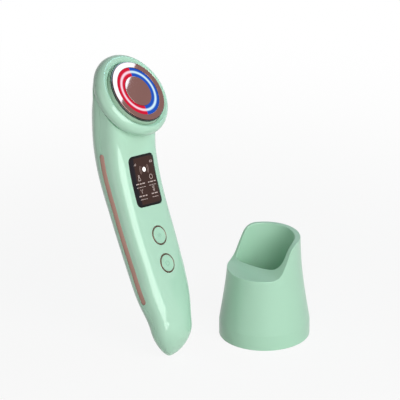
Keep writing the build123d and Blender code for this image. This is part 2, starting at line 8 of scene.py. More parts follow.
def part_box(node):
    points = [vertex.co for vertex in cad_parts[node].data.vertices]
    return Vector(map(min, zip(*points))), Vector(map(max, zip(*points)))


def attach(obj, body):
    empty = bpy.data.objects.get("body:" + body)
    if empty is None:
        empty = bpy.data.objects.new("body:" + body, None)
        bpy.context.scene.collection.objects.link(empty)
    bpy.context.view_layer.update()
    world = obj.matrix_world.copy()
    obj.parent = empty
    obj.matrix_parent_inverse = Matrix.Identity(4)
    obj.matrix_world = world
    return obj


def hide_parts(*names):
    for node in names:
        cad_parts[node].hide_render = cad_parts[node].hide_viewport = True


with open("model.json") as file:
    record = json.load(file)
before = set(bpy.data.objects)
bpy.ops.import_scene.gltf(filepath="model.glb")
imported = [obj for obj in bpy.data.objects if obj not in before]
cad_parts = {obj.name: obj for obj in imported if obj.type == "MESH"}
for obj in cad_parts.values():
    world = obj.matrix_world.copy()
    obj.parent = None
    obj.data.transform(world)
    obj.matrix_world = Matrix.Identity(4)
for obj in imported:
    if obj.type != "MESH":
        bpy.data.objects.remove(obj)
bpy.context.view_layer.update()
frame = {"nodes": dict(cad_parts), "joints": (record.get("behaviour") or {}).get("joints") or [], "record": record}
print("frame loaded", len(frame["nodes"]), "nodes")

scene = bpy.context.scene
scene.view_settings.view_transform = "Standard"
mm = 0.001
white = (1.0, 1.0, 1.0, 1.0)

camera = {
    "turn": 49.7,                # degrees, from -Y towards +X
    "height": 25.0,              # degrees above the floor
    "distance": 6.0,             # metres
    "frameWidth": 0.24242,       # metres across the picture at the object
    "aim": (-0.03897, 0.07988),  # right of and above the origin, in the picture's plane
    "sensor": 36.0,
    "farClip": 20.0,
}


def cameraAxes():
    # right, up and towards-the-viewer, from the turn and the height
    turn, height = math.radians(camera["turn"]), math.radians(camera["height"])
    flat = Vector((math.sin(turn), -math.cos(turn), 0))
    right = Vector((math.cos(turn), math.sin(turn), 0))
    toward = flat * math.cos(height) + Vector((0, 0, math.sin(height)))
    return right, toward.cross(right), toward


def linked(name, data):
    thing = bpy.data.objects.new(name, data)
    scene.collection.objects.link(thing)
    return thing


def standing(x, y, z, centre):
    # the matrix of an object whose own axes point along x, y and z
    matrix = Matrix((x, y, z)).transposed().to_4x4()
    matrix.translation = centre
    return matrix


def makeCamera():
    right, up, toward = cameraAxes()
    aim = right * camera["aim"][0] + up * camera["aim"][1]
    data = bpy.data.cameras.new("camera")
    data.sensor_width = camera["sensor"]
    data.lens = camera["sensor"] * camera["distance"] / camera["frameWidth"]
    data.clip_end = camera["farClip"]
    scene.camera = linked("camera", data)
    scene.camera.matrix_world = standing(right, up, toward, aim + toward * camera["distance"])


makeCamera()


class Wire:
    # a socket of a shader; its operators add Math nodes
    def __init__(self, paint, socket):
        self.paint, self.socket = paint, socket

    def __add__(self, other): return self.paint.math("ADD", self, other)
    def __sub__(self, other): return self.paint.math("SUBTRACT", self, other)
    def __mul__(self, other): return self.paint.math("MULTIPLY", self, other)
    def __rsub__(self, other): return self.paint.math("SUBTRACT", other, self)
    __radd__ = __add__
    __rmul__ = __mul__


class Paint:
    # the nodes of a material or a world: add() makes one and wires its inputs, surface() closes a material
    def __init__(self, name, kind="materials"):
        self.owner = getattr(bpy.data, kind).new(name)
        self.owner.use_nodes = True
        self.tree = self.owner.node_tree
        self.tree.nodes.clear()
        if kind == "materials":
            self.place = self.add("TexCoord", out="Object")

    def add(self, kind, settings=None, inputs=None, out=0):
        node = self.tree.nodes.new("ShaderNode" + kind)
        for key, value in (settings or {}).items():
            setattr(node, key, value)
        for key, value in (inputs or {}).items():
            if isinstance(value, Wire):
                self.tree.links.new(value.socket, node.inputs[key])
            else:
                node.inputs[key].default_value = value
        return Wire(self, node.outputs[out]) if len(node.outputs) else None

    def math(self, kind, *values):
        return self.add("Math", {"operation": kind}, dict(enumerate(values)))

    def vector(self, kind, *values, out=0):
        return self.add("VectorMath", {"operation": kind}, dict(enumerate(values)), out)

    def mix(self, share, low, high):
        return self.add("Mix", {"data_type": "RGBA"}, {0: share, 6: low, 7: high}, 2)

    def varied(self, share, tint, factors):
        # between a darker and a lighter version of one colour
        low, high = factors
        return self.mix(share, shaded(tint, low), shaded(tint, high))

    def noise(self, perMetre, detail, stretch=None):
        at = self.place if stretch is None else self.vector("MULTIPLY", self.place, stretch)
        return self.add("TexNoise", None, {"Vector": at, "Scale": perMetre, "Detail": detail}, "Fac")

    def step(self, value, ends):
        # 0 below the first of the ends, 1 above the second, smooth between
        low, high = ends
        return self.add("MapRange", {"interpolation_type": "SMOOTHSTEP"},
                        {"Value": value, "From Min": low, "From Max": high})

    def bump(self, height, distance, strength):
        return self.add("Bump", None, {"Height": height, "Distance": distance, "Strength": strength})

    def radius(self, centre, axis):
        # distance from a line through centre: the length of the arm's cross product with the axis
        arm = self.vector("SUBTRACT", self.place, tuple(centre))
        return self.vector("LENGTH", self.vector("CROSS_PRODUCT", arm, tuple(axis)), out="Value")

    def attribute(self, name):
        return self.add("Attribute", {"attribute_name": name}, out="Fac")

    def seen(self):
        # 1 where the camera looks, also by way of a mirror or through glass, and 0 for other light
        kinds = ("Camera", "Glossy", "Transmission")
        rays = [self.add("LightPath", out="Is " + kind + " Ray") for kind in kinds]
        return self.math("MINIMUM", rays[0] + rays[1] + rays[2], 1.0)

    def surface(self, **sockets):
        inputs = {key.replace("_", " "): value for key, value in sockets.items()}
        self.add("OutputMaterial", None, {"Surface": self.add("BsdfPrincipled", None, inputs)})
        return self.owner


def colour(*rgb):
    # screen values from 0 to 255, made linear
    share = np.array(rgb) / 255
    linear = np.where(share > 0.04045, ((share + 0.055) / 1.055) ** 2.4, share / 12.92)
    return (*linear.tolist(), 1.0)


def shaded(rgba, factor):
    # a darker or lighter version, with no channel past 1
    return (*(min(c * factor, 1.0) for c in rgba[:3]), 1.0)


def cellsOf(index):
    # the four corners of every cell of a grid, from the numbers of its points
    corners = [index[:-1, :-1], index[:-1, 1:], index[1:, 1:], index[1:, :-1]]
    return np.stack(corners, -1).reshape(-1, 4)


def loopCells(rows, columns, closed=False):
    # cells between closed loops of points, one loop to a row; closed joins the last loop to the first
    index = np.arange(rows * columns).reshape(rows, columns)
    if closed:
        index = np.vstack([index, index[:1]])
    return cellsOf(np.hstack([index, index[:, :1]]))


def tube(points):
    # closed loops of points, one row each, joined into a tube; a point in its middle closes each end
    rows, columns = points.shape[:2]
    flat, cells = points.reshape(-1, 3), [loopCells(rows, columns)]
    for row in (0, rows - 1):
        ring = row * columns + np.arange(columns)
        pair = [ring, np.roll(ring, -1)] if row else [np.roll(ring, -1), ring]
        cells.append(np.stack([np.full(columns, len(flat)), *pair, np.full(columns, -1)], -1))
        flat = np.vstack([flat, points[row].mean(0)])
    return flat, np.vstack(cells)


def torus(points):
    # a closed profile carried round a closed path
    return points.reshape(-1, 3), loopCells(*points.shape[:2], True)


def outward(flat, cells):
    # the signed volume of a closed surface tells whether its faces look outwards
    a, b, c, d = (flat[np.where(cells < 0, cells[:, :1], cells)][:, n] for n in range(4))
    volume = (np.cross(b - a, c - a) * a).sum() + (np.cross(c - a, d - a) * a).sum()
    triangle = cells[:, 3:] < 0
    return cells if volume > 0 else np.where(triangle, cells[:, [0, 2, 1, 3]], cells[:, ::-1])


def mergedCells(cells):
    # a cell with two corners in one point becomes a triangle, and one with fewer than three goes
    a, b, c, d = cells.T
    none = np.full(len(a), -1)
    triangles = [np.stack([*corners, none], -1) for corners in ((a, c, d), (a, b, d), (a, b, c))]
    same = [(a == b)[:, None], (b == c)[:, None], ((c == d) | (d == a))[:, None]]
    kept = np.select(same, triangles, cells)
    first, second, third = kept[:, 0], kept[:, 1], kept[:, 2]
    return kept[(first != second) & (second != third) & (third != first)]


def smoothed(mesh, sharp=40.0):
    # edges that turn by more than so many degrees stay sharp
    mesh.shade_smooth()
    mesh.set_sharp_from_angle(angle=math.radians(sharp))


def makePiece(name, parts, sharp=40.0, attributes=()):
    # parts are (points in metres, cells); a cell with -1 at its end is a triangle
    flat, cells, start = [], [], 0
    for points, faces in parts:
        faces = outward(points - points.mean(0), faces)
        cells.append(np.where(faces < 0, -1, faces + start))
        flat.append(points)
        start += len(points)
    flat, cells = np.vstack(flat), np.vstack(cells)
    used = np.unique(cells[cells >= 0])
    number = np.zeros(len(flat), int)
    number[used] = np.arange(len(used))
    flat, cells = flat[used], np.where(cells < 0, -1, number[cells])
    loops, counts = cells[cells >= 0], np.where(cells[:, 3] < 0, 3, 4)
    starts = np.concatenate([[0], np.cumsum(counts)[:-1]])
    mesh = bpy.data.meshes.new(name)
    mesh.vertices.add(len(flat))
    mesh.vertices.foreach_set("co", flat.astype(np.float32).ravel())
    mesh.loops.add(len(loops))
    mesh.loops.foreach_set("vertex_index", loops.astype(np.int32))
    mesh.polygons.add(len(counts))
    mesh.polygons.foreach_set("loop_start", starts.astype(np.int32))
    mesh.polygons.foreach_set("loop_total", counts.astype(np.int32))
    mesh.update(calc_edges=True)
    mesh.validate()
    smoothed(mesh, sharp)
    for title, values in attributes:
        layer = mesh.attributes.new(title, "FLOAT", "POINT")
        layer.data.foreach_set("value", values.astype(np.float32).ravel())
    return linked(name, mesh)


def place(piece, body, node=None, slot=None, material=None):
    # a piece that stands for a node takes the node's slot, and the slot's finish unless it gets another
    slot = slot or slotOf[node]
    piece.data.materials.append(material or finishes[slot])
    if node:
        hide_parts(node)
    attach(piece, body)


def carve(piece, cutters):
    # the cutters' volumes are taken out of the piece and the cutters removed
    for cutter in cutters:
        tool = piece.modifiers.new("cut", "BOOLEAN")
        tool.operation, tool.solver, tool.object = "DIFFERENCE", "EXACT", cutter
    bpy.context.view_layer.update()
    graph = bpy.context.evaluated_depsgraph_get()
    carved = bpy.data.meshes.new_from_object(piece.evaluated_get(graph))
    piece.modifiers.clear()
    old, piece.data = piece.data, carved
    bpy.data.meshes.remove(old)
    carved.name = piece.name
    carved.materials.clear()
    smoothed(carved)
    for cutter in cutters:
        bpy.data.objects.remove(cutter)


def runningLength(points):
    # distance of each point from the first, along the chords between them
    return np.concatenate([[0], np.cumsum(np.linalg.norm(np.diff(points, axis=0), axis=1))])


def naturalSpline(at, values, where):
    # cubic pieces through the values, with no bending at the two ends
    count, gaps = len(at), np.diff(at)
    matrix, right = np.eye(count), np.zeros((count, values.shape[1]))
    inner = np.arange(1, count - 1)
    matrix[inner, inner - 1], matrix[inner, inner + 1] = gaps[:-1], gaps[1:]
    matrix[inner, inner] = 2 * (gaps[:-1] + gaps[1:])
    slopes = np.diff(values, axis=0) / gaps[:, None]
    right[1:-1] = 6 * np.diff(slopes, axis=0)
    bend = np.linalg.solve(matrix, right)
    k = np.clip(np.searchsorted(at, where) - 1, 0, count - 2)
    d, gap = (where - at[k])[:, None], gaps[k][:, None]
    slope = slopes[k] - gap * (2 * bend[k] + bend[k + 1]) / 6
    return values[k] + d * slope + d ** 2 * bend[k] / 2 + d ** 3 * (bend[k + 1] - bend[k]) / (6 * gap)


def chordSpline(points, count):
    # a smooth open line through points, spaced by the chords between them
    points = np.array(points, float)
    at = runningLength(points)
    return naturalSpline(at, points, np.linspace(0, at[-1], count))


def parabola(start, corner, end, t):
    # leaves start and reaches end along the two lines through the corner
    return (1 - t) ** 2 * start + 2 * t * (1 - t) * corner + t ** 2 * end


def rounded(corners, radii, steps=6):
    # a closed outline whose corners are cut back by their radius and joined by a parabola
    corners = np.array(corners, float)
    radii = np.broadcast_to(np.array(radii, float), len(corners))
    ends = []
    for turn in (1, -1):
        side = np.roll(corners, turn, 0) - corners
        length = np.linalg.norm(side, axis=1, keepdims=True)
        ends.append(corners + side / length * np.minimum(radii[:, None], 0.49 * length))
    t = np.linspace(0, 1, steps)[None, :, None]
    return parabola(ends[0][:, None], corners[:, None], ends[1][:, None], t).reshape(-1, 2)


def rolledEdge(radius, top, edge, steps):
    # a quarter circle from the flat top down to the side, as rows of (radius, height)
    turn = np.linspace(0, math.pi / 2, steps)
    return np.stack([radius - edge + edge * np.sin(turn), top - edge * (1 - np.cos(turn))], -1)


def supported(profile, gap, closed=True):
    # points added close to both ends of each long run, so that shading stays flat between them
    following = np.roll(profile, -1, 0) if closed else profile[1:]
    parts = []
    for a, b in zip(profile, following):
        length = np.linalg.norm(b - a)
        parts.append(a[None])
        if length > 4 * gap:
            parts.append(np.stack([a + (b - a) * gap / length, b - (b - a) * gap / length]))
    if not closed:
        parts.append(profile[-1:])
    return np.vstack(parts)


def fullTurn(count):
    return np.linspace(0, 2 * math.pi, count, endpoint=False)


def onCircle(turns):
    return np.stack([np.cos(turns), np.sin(turns)], -1)


def circle(radius, count=96):
    return radius * onCircle(fullTurn(count))


def roundBox(width, length, corner, steps=14):
    # a rectangle with quarter-circle corners
    turns = np.linspace(0, math.pi / 2, steps)
    parts = []
    for n, (sx, sy) in enumerate(((1, 1), (-1, 1), (-1, -1), (1, -1))):
        centre = np.array((sx * (width / 2 - corner), sy * (length / 2 - corner)))
        parts.append(centre + corner * onCircle(turns + n * math.pi / 2))
    return np.vstack(parts)


def denser(outline, step):
    # a closed outline with points put in on its long runs
    following = np.roll(outline, -1, 0)
    counts = np.ceil(np.linalg.norm(following - outline, axis=1) / step)
    counts = np.maximum(counts, 1).astype(int)
    return np.vstack([a + (b - a) * np.linspace(0, 1, count, endpoint=False)[:, None]
                      for a, b, count in zip(outline, following, counts)])


# a seat is an origin and three axes: across, along and out of the surface
def revolved(profile, seat, turns=fullTurn(128), shift=None):
    # profile rows are (radius, height) in mm, turned about the seat's last axis; shift moves rows along
    origin, across, along, normal = seat
    ring = np.cos(turns)[:, None] * across + np.sin(turns)[:, None] * along
    points = origin + profile[:, :1, None] * ring[None] + profile[:, 1:, None] * normal
    if shift is not None:
        points = points + shift[:, None, None] * along
    return points * mm


def prism(outline, seat, low, high):
    # an outline of (across, along) rows, from one height over the seat's plane to another
    origin, across, along, normal = seat
    flat = origin + outline[:, :1] * across + outline[:, 1:] * along
    return tube(np.stack([flat + low * normal, flat + high * normal]) * mm)


print("mesh tools ready")

# the wand's form, in mm, in its own upright frame
wand = {
    # height, half width, face line, back line
    "stations": [
        (20.3, 14.9, -1.8, 18.0), (32.3, 17.4, -2.0, 19.8), (52.3, 18.6, -1.3, 22.6),
        (72.3, 19.3, -0.1, 24.1), (97.3, 19.3, 0.9, 26.4), (117.3, 19.7, 0.1, 27.3),
        (132.3, 20.0, -3.2, 26.1), (144.3, 22.4, -9.4, 22.0),
    ],
    "gripStation": 2, "searchStation": 3,
    "tailPivot": 14.6, "tailTaper": 1.3, "tailShares": (0.93, 0.8, 0.62, 0.42, 0.2),
    "tailRoundness": 2.5, "faceRoundness": 4.0, "backRoundness": 2.2,
    "turn": 102.6, "leanBack": 25.9, "leanSide": 10.4,
    "lineSteps": 6000, "repeats": 8,
}
head = {
    "height": 159.65, "forward": 11.05, "tilt": 17.9, "depth": 12.0, "rise": 0.8, "clearance": 0.02,
    "rim": 24.3, "bulge": 16.1, "rimBulge": 1.0, "taper": 2.25, "shares": (0.0, 0.2, 0.4, 0.6, 0.78, 0.92),
}
tilt = math.radians(head["tilt"])
headNormal = np.array((0, -math.cos(tilt), math.sin(tilt)))
headUp = np.array((0, math.sin(tilt), math.cos(tilt)))
headOrigin = np.array((0, -head["forward"], head["height"]))
acrossAxis, depthAxis, upAxis = np.eye(3)


def tailRows():
    # a quarter turn from the grip's end to the tip; widths shrink as a power of the cosine
    height, half, face, back = wand["stations"][0]
    turn, pivot = np.array(wand["tailShares"]) * math.pi / 2, wand["tailPivot"]
    size = np.cos(turn) ** wand["tailTaper"]
    face, back = (pivot + (edge - pivot) * size for edge in (face, back))
    return np.stack([height * (1 - np.sin(turn)), half * size, face, back], -1)


def headRows():
    # a quarter turn from the collar's middle to the top; the depth shrinks as a power of what is left
    turn, rim = np.array(head["shares"]) * math.pi / 2, head["rim"]
    rise = np.sin(turn)
    bulge = head["rimBulge"] + (head["bulge"] - head["rimBulge"]) * (1 - rise) ** head["taper"]
    start = headOrigin - head["depth"] * headNormal + head["rise"] * headUp
    middle = start[1] + rim * math.sin(tilt) * rise
    height = start[2] + rim * math.cos(tilt) * rise
    return np.stack([height, rim * np.cos(turn), middle - bulge, middle + bulge], -1)


stationRows = np.vstack([tailRows(), wand["stations"], headRows()])
stationAt = runningLength(stationRows)
lineAt = np.linspace(0, stationAt[-1], wand["lineSteps"])
lineRows = naturalSpline(stationAt, stationRows, lineAt)


def rowsAt(distance, along=lineAt):
    # height, half width, face and back at distances along the wand
    return [np.interp(distance, along, lineRows[:, n]) for n in range(4)]


def rowsAtHeight(height):
    return rowsAt(height, lineRows[:, 0])


def depthOf(rows):
    # the middle between face and back, and half the distance between them
    return (rows[2] + rows[3]) / 2, (rows[3] - rows[2]) / 2


def sectionPoint(rows, angle, inset):
    # a squarish oval: the corner power runs from the face's to the back's over the flank
    height, half = rows[:2]
    middle, deep = depthOf(rows)
    first, grip = wand["stations"][0][0], wand["stations"][wand["gripStation"]][0]
    blend = np.clip((height - first) / (grip - first), 0, 1)
    facePower = wand["tailRoundness"] + (wand["faceRoundness"] - wand["tailRoundness"]) * blend
    turn = np.clip(np.sin(angle) + 0.5, 0, 1)
    power = facePower + (wand["backRoundness"] - facePower) * turn * turn * (3 - 2 * turn)
    size = (np.abs(np.cos(angle)) ** power + np.abs(np.sin(angle)) ** power) ** (-1 / power)
    x = (half - inset) * size * np.cos(angle)
    y = middle + (deep - inset) * size * np.sin(angle)
    return np.stack(np.broadcast_arrays(x, y, height), -1)


def turnAbout(angle, axis):
    return np.array(Matrix.Rotation(math.radians(angle), 3, axis))


wandTurn = (turnAbout(wand["turn"], "Z") @ turnAbout(-wand["leanBack"], "X")
            @ turnAbout(wand["leanSide"], "Y"))
faceMount = next(m for m in frame["record"]["mounts"] if m["name"] == "treatment_face")
wandShift = np.array(faceMount["pos_m"]) / mm - wandTurn @ headOrigin


def stood(points):
    # from the wand's own frame in mm to the place where it stands, in mm
    return points @ wandTurn.T + wandShift


def stoodSeat(origin, across, along, normal):
    # the same for a seat: its origin moves, its axes only turn
    return stood(np.array(origin, float)), wandTurn @ across, wandTurn @ along, wandTurn @ normal


headSeat = stoodSeat(headOrigin, acrossAxis, headUp, headNormal)

mould = {
    "wall": 1.9, "lip": 0.22, "lipRadius": 19.0,
    "partingGap": 0.05,   # half of the line between the two halves
    "lipShares": (0, 0.15, 0.35, 0.6, 0.85, 1.0, 1.4), "lastRow": 1.5,
    "around": 84, "along": 250, "searchSteps": 1500,
    "spread": (0.35, 0.65, 1.35),   # even part, part that crowds towards the tail, and its power
    "innerStart": 4.0, "innerEnd": 1.2,
}


def columnEnds(angles, inset, limit):
    # for each angle the distance along the wand at which the form meets the plane of the collar's back
    start = stationAt[len(wand["tailShares"]) + wand["searchStation"]]
    distance = np.linspace(start, limit, mould["searchSteps"])
    rows = [row[:, None] for row in rowsAt(distance)]
    over = (sectionPoint(rows, angles[None, :], inset) - headOrigin) @ headNormal
    over = over + head["depth"] + head["clearance"]
    hit = np.argmax(over > 0, axis=0)
    column = np.arange(len(angles))
    low, high = over[hit - 1, column], over[hit, column]
    share = np.clip(-low / (high - low), 0, 1)
    met = distance[hit - 1] + share * (distance[hit] - distance[hit - 1])
    return np.where(over.max(0) > 0, met, limit)


def lipInset(gap, width):
    # a quarter-round lip that dips by its width at the edge
    share = np.clip(1 - gap / width, 0, 1)
    return width * (1 - np.sqrt(1 - share ** 2))


def shellSkins(front):
    # outer and inner skin of one half, as functions of the distance along and the angle round
    lip, gapHalf, radius = mould["lip"], mould["partingGap"], mould["lipRadius"]
    lipShares = np.array(mould["lipShares"])
    ramp = (gapHalf + lip * lipShares) / radius
    middle = np.linspace(ramp[-1], math.pi - ramp[-1], mould["around"])[1:-1]
    angles = np.concatenate([ramp, middle, math.pi - ramp[::-1]])
    gap = np.minimum(angles, math.pi - angles) * radius - gapHalf
    angles = angles + (math.pi if front else 0)
    even, crowded, power = mould["spread"]
    share = np.linspace(0, 1, mould["along"])[:, None]
    spread = even * share + crowded * share ** power
    innerStart = np.interp(mould["innerStart"], lineRows[:, 0], lineAt)
    skins = []
    for inset, low in ((0.0, 0.0), (mould["wall"], innerStart)):
        limit = stationAt[-1] - (mould["innerEnd"] if inset else 0)
        ends = columnEnds(angles, inset, limit) if front else np.full(len(angles), limit)
        distance = low + spread * (ends - low - mould["lastRow"] * lip)
        distance = np.vstack([distance, ends - lip * lipShares[4::-1, None]])
        rows = rowsAt(distance)
        if inset:
            # where the form is thin the wall takes up half of it at most
            depth = np.minimum(inset, 0.5 * np.minimum(rows[1], depthOf(rows)[1]))
        else:
            depth = np.broadcast_to(lipInset(gap, lip), distance.shape)
            if front:
                depth = np.maximum(depth, lipInset(ends - distance, lip))
            depth = np.minimum(depth, 0.3 * rows[1])
        skins.append(sectionPoint(rows, angles, depth))
    return skins


def halfShell(front):
    # the two skins, joined round their rim, each closed in one point at the tail,
    # and at the head's top for the back half
    skins = shellSkins(front)
    count, across = skins[0].shape[:2]
    size = count * across
    grid = np.arange(size).reshape(count, across)
    index = grid.copy()
    index[0] = grid[0, 0]
    if not front:
        index[-1] = grid[-1, 0]
    flat = np.vstack([skin.reshape(-1, 3) for skin in skins])
    for start in (0, size):
        for row in (0,) if front else (0, -1):
            flat[start + grid[row]] = flat[start + grid[row]].mean(0) * (0, 1, 1)
    cells = cellsOf(index)
    rim = np.concatenate([index[:, 0], index[-1, 1:], index[-2::-1, -1]])
    rim = rim[np.concatenate([[True], np.diff(rim) != 0])]
    strips = np.stack([rim[:-1], rim[1:], rim[1:] + size, rim[:-1] + size], -1)
    return stood(flat) * mm, mergedCells(np.vstack([cells, cells[:, ::-1] + size, strips]))


strip = {
    "low": 35.4, "high": 125.7, "radius": 1.8, "thickness": 1.0, "sink": 0.15, "gap": 0.14,
    # share of the half width and depth below the top, from the middle to one side
    "crown": [(0, -0.03), (0.4, -0.02), (0.78, 0), (0.9, 0.04), (0.97, 0.14), (1, 0.3)],
    "grooveDepth": 0.15, "cutterRise": 0.8, "endReach": 0.97, "endSteps": 9, "steps": 120,
}


def flankX(y, height, inset):
    # half width of the wand at a depth near the middle of its flank, found by repeated substitution
    rows = rowsAtHeight(height)
    middle, deep = depthOf(rows)
    angle = np.arcsin(np.clip((y - middle) / (deep - inset), -1, 1))
    for _ in range(wand["repeats"]):
        reach = sectionPoint(rows, angle, inset)[..., 1]
        angle = angle + (y - reach) / deep
    return sectionPoint(rows, angle, inset)[..., 0]


def flankRibbon(side, radius, section):
    # a band up the parting line with round ends; section rows are (share of half width, inset)
    low, high = strip["low"], strip["high"]
    ends = np.sin(np.linspace(0, strip["endReach"], strip["endSteps"]) * math.pi / 2) * radius
    height = np.concatenate([low - ends[::-1], np.linspace(low, high, strip["steps"])[1:-1], high + ends])
    past = np.maximum(np.maximum(low - height, height - high), 0)
    half = np.sqrt(np.maximum(radius ** 2 - past ** 2, 0))[:, None]
    middle = depthOf(rowsAtHeight(height))[0]
    slope = np.gradient(middle, height)
    length = np.sqrt(1 + slope ** 2)
    share, inset = np.array(section).T
    y = middle[:, None] + share * half / length[:, None]
    z = height[:, None] - share * half * (slope / length)[:, None]
    x = side * flankX(y, z, inset)
    return tube(stood(np.stack([x, y, z], -1)) * mm)


def faceSeat(height, reach=0.5):
    # origin on the face line, across, along the face, and out of it
    face = rowsAtHeight(height + np.array((-reach, 0, reach)))[2]
    along = np.array((0, face[2] - face[0], 2 * reach))
    along = along / np.linalg.norm(along)
    return np.array((0, face[1], height)), acrossAxis, along, np.cross(acrossAxis, along)


def onFace(seat, across, along, inset):
    # where the line through a point of the seat's plane, along its normal, meets the face
    origin, xAxis, yAxis, normal = seat
    flat = origin + across[..., None] * xAxis + along[..., None] * yAxis
    depth, power = np.zeros(flat.shape[:-1]), wand["faceRoundness"]
    for _ in range(wand["repeats"]):
        rows = rowsAtHeight(flat[..., 2] + depth * normal[2])
        middle, deep = depthOf(rows)
        share = np.clip(np.abs(flat[..., 0]) / (rows[1] - inset), 0, 0.999)
        reach = (deep - inset) * (1 - share ** power) ** (1 / power)
        depth = (middle - reach - flat[..., 1]) / normal[1]
    return flat + depth[..., None] * normal


print("wand form ready")

# what the finishes of one kind have in common: grain and ripple are counts per metre, relief is in metres,
# and a pair is a darker and a lighter factor, or the two ends of a soft step
common = {
    "plastic": {"drift": 60, "driftShades": (0.965, 1.035), "grain": 2000, "grainHeight": 0.6, "ripple": 500,
                "speck": 0.05, "speckEnds": (0.62, 0.8), "speckShade": 0.8, "unevenness": 0.1,
                "relief": 0.00001, "bump": 0.6, "ior": 1.48},
    "metal": {"shades": (0.9, 1.08), "cloud": 0.6, "grain": 1500, "stretch": (1, 1, 0.06), "roughness": 0.2,
              "relief": 0.000004, "bump": 0.5},
    "matte": {"shades": (0.82, 1.15), "unevenness": 0.15, "bump": 0.7},
    "ring": {"middle": 12.9, "core": 0.15, "halo": 1.3, "strength": 1.0, "shades": (0.92, 1.08), "body": 0.02,
             "grain": 900, "roughness": 0.3, "unevenness": 0.1},
    "glow": {"grain": 1500, "shades": (0.9, 1.0), "body": 0.5, "roughness": 0.35, "unevenness": 0.1},
}


def plastic(name, **look):
    # dyed plastic: a slow drift of the dye, fine texture in the roughness and a slight ripple
    look = {**common["plastic"], **look}
    paint = Paint(name)
    drift, grain = paint.noise(look["drift"], 2), paint.noise(look["grain"], 3)
    speck = paint.step(paint.noise(look["grain"] * 3, 1), look["speckEnds"])
    base = paint.varied(drift, look["colour"], look["driftShades"])
    base = paint.mix(speck * look["speck"], base, shaded(look["colour"], look["speckShade"]))
    height = grain * look["grainHeight"] + paint.noise(look["ripple"], 1)
    return paint.surface(Base_Color=base, Roughness=grain * look["unevenness"] + look["roughness"],
                         IOR=look["ior"], Normal=paint.bump(height, look["relief"], look["bump"]))


def metal(name, **look):
    # plated metal: faint rubbed streaks along one direction, and a cloudy tarnish in the colour
    look = {**common["metal"], **look}
    paint = Paint(name)
    streak, cloud = paint.noise(look["grain"], 3, look["stretch"]), paint.noise(look["drift"], 2)
    share = cloud * look["cloud"] + streak * (1 - look["cloud"])
    return paint.surface(Base_Color=paint.varied(share, look["colour"], look["shades"]), Metallic=1.0,
                         Roughness=streak * look["unevenness"] + look["roughness"],
                         Normal=paint.bump(streak, look["relief"], look["bump"]))


def matte(name, **look):
    # rubber, ceramic or foam: grainy colour and a pitted surface
    look = {**common["matte"], **look}
    paint = Paint(name)
    grain = paint.noise(look["grain"], 4)
    return paint.surface(Base_Color=paint.varied(grain, look["colour"], look["shades"]),
                         Roughness=grain * look["unevenness"] + look["roughness"],
                         Normal=paint.bump(grain, look["relief"], look["bump"]))


def circuitBoard(name, **look):
    # green lacquer with copper tracks on a square lattice and bright pads
    paint = Paint(name)
    inputs = {"Vector": paint.place, "Scale": look["pitch"], "Randomness": look["wander"]}
    cells = paint.add("TexVoronoi", {"distance": "MANHATTAN", "feature": "F1"}, inputs, "Distance")
    trackInner, trackOuter = look["trackEnds"]
    track = paint.step(cells, trackInner) * (1 - paint.step(cells, trackOuter))
    pad = 1 - paint.step(cells, look["padEnds"])
    base = paint.mix(pad, paint.mix(track, look["colour"], look["track"]), look["pad"])
    return paint.surface(Base_Color=base, Roughness=look["roughness"] - pad * look["padGloss"],
                         Metallic=pad * look["padMetal"],
                         Normal=paint.bump(track + pad, look["relief"], look["bump"]))


def filmWrap(name, **look):
    # shrink film with fine wrinkles in its relief, and a painted highlight that makes the colour lighter on their
    # crests
    paint = Paint(name)
    wrinkle = paint.noise(look["grain"], 3, look["stretch"])
    # painted highlight: the colour is lighter where a wrinkle rises
    base = paint.varied(paint.step(wrinkle, look["creaseEnds"]), look["colour"], look["shades"])
    return paint.surface(Base_Color=base, Roughness=wrinkle * look["unevenness"] + look["roughness"],
                         Normal=paint.bump(wrinkle, look["relief"], look["bump"]))


def litRing(name, **look):
    # a lens that is brightest on its middle radius and takes its colour towards both edges
    look = {**common["ring"], **look}
    paint = Paint(name)
    radius = paint.radius(headSeat[0] * mm, headSeat[3])
    off = paint.math("ABSOLUTE", radius - look["middle"] * mm)
    core = 1 - paint.step(off, (look["core"] * mm, look["halo"] * mm))
    dots = paint.noise(look["grain"], 2)
    glow = paint.mix(core, paint.varied(dots, look["colour"], look["shades"]), look["centre"])
    return paint.surface(Base_Color=shaded(look["colour"], look["body"]), Specular_IOR_Level=0.0,
                         Roughness=dots * look["unevenness"] + look["roughness"],
                         Emission_Color=glow, Emission_Strength=look["strength"])


def smokedGlass(name, **look):
    # dark window: a near-black printed border that follows the outline, and a brown field inside whose left edge
    # is darkened by painted shade
    paint = Paint(name)
    dust = paint.noise(look["grain"], 2)
    field = paint.varied(dust, look["colour"], look["shades"])
    # painted shade: the field goes towards a purple-black near the window's left edge, following the dim attribute
    field = paint.mix(paint.attribute("dim"), field, look["dimmed"])
    base = paint.mix(paint.step(paint.attribute("border"), look["borderEnds"]), field, look["border"])
    return paint.surface(Base_Color=base, Roughness=dust * look["unevenness"] + look["roughness"],
                         IOR=look["ior"], Normal=paint.bump(dust, look["relief"], look["bump"]))


def glowing(name, **look):
    # small lit mark with a slightly uneven brightness
    look = {**common["glow"], **look}
    paint = Paint(name)
    grain = paint.noise(look["grain"], 2)
    return paint.surface(Base_Color=shaded(look["colour"], look["body"]),
                         Roughness=grain * look["unevenness"] + look["roughness"],
                         Emission_Color=paint.varied(grain, look["colour"], look["shades"]),
                         Emission_Strength=look["strength"])


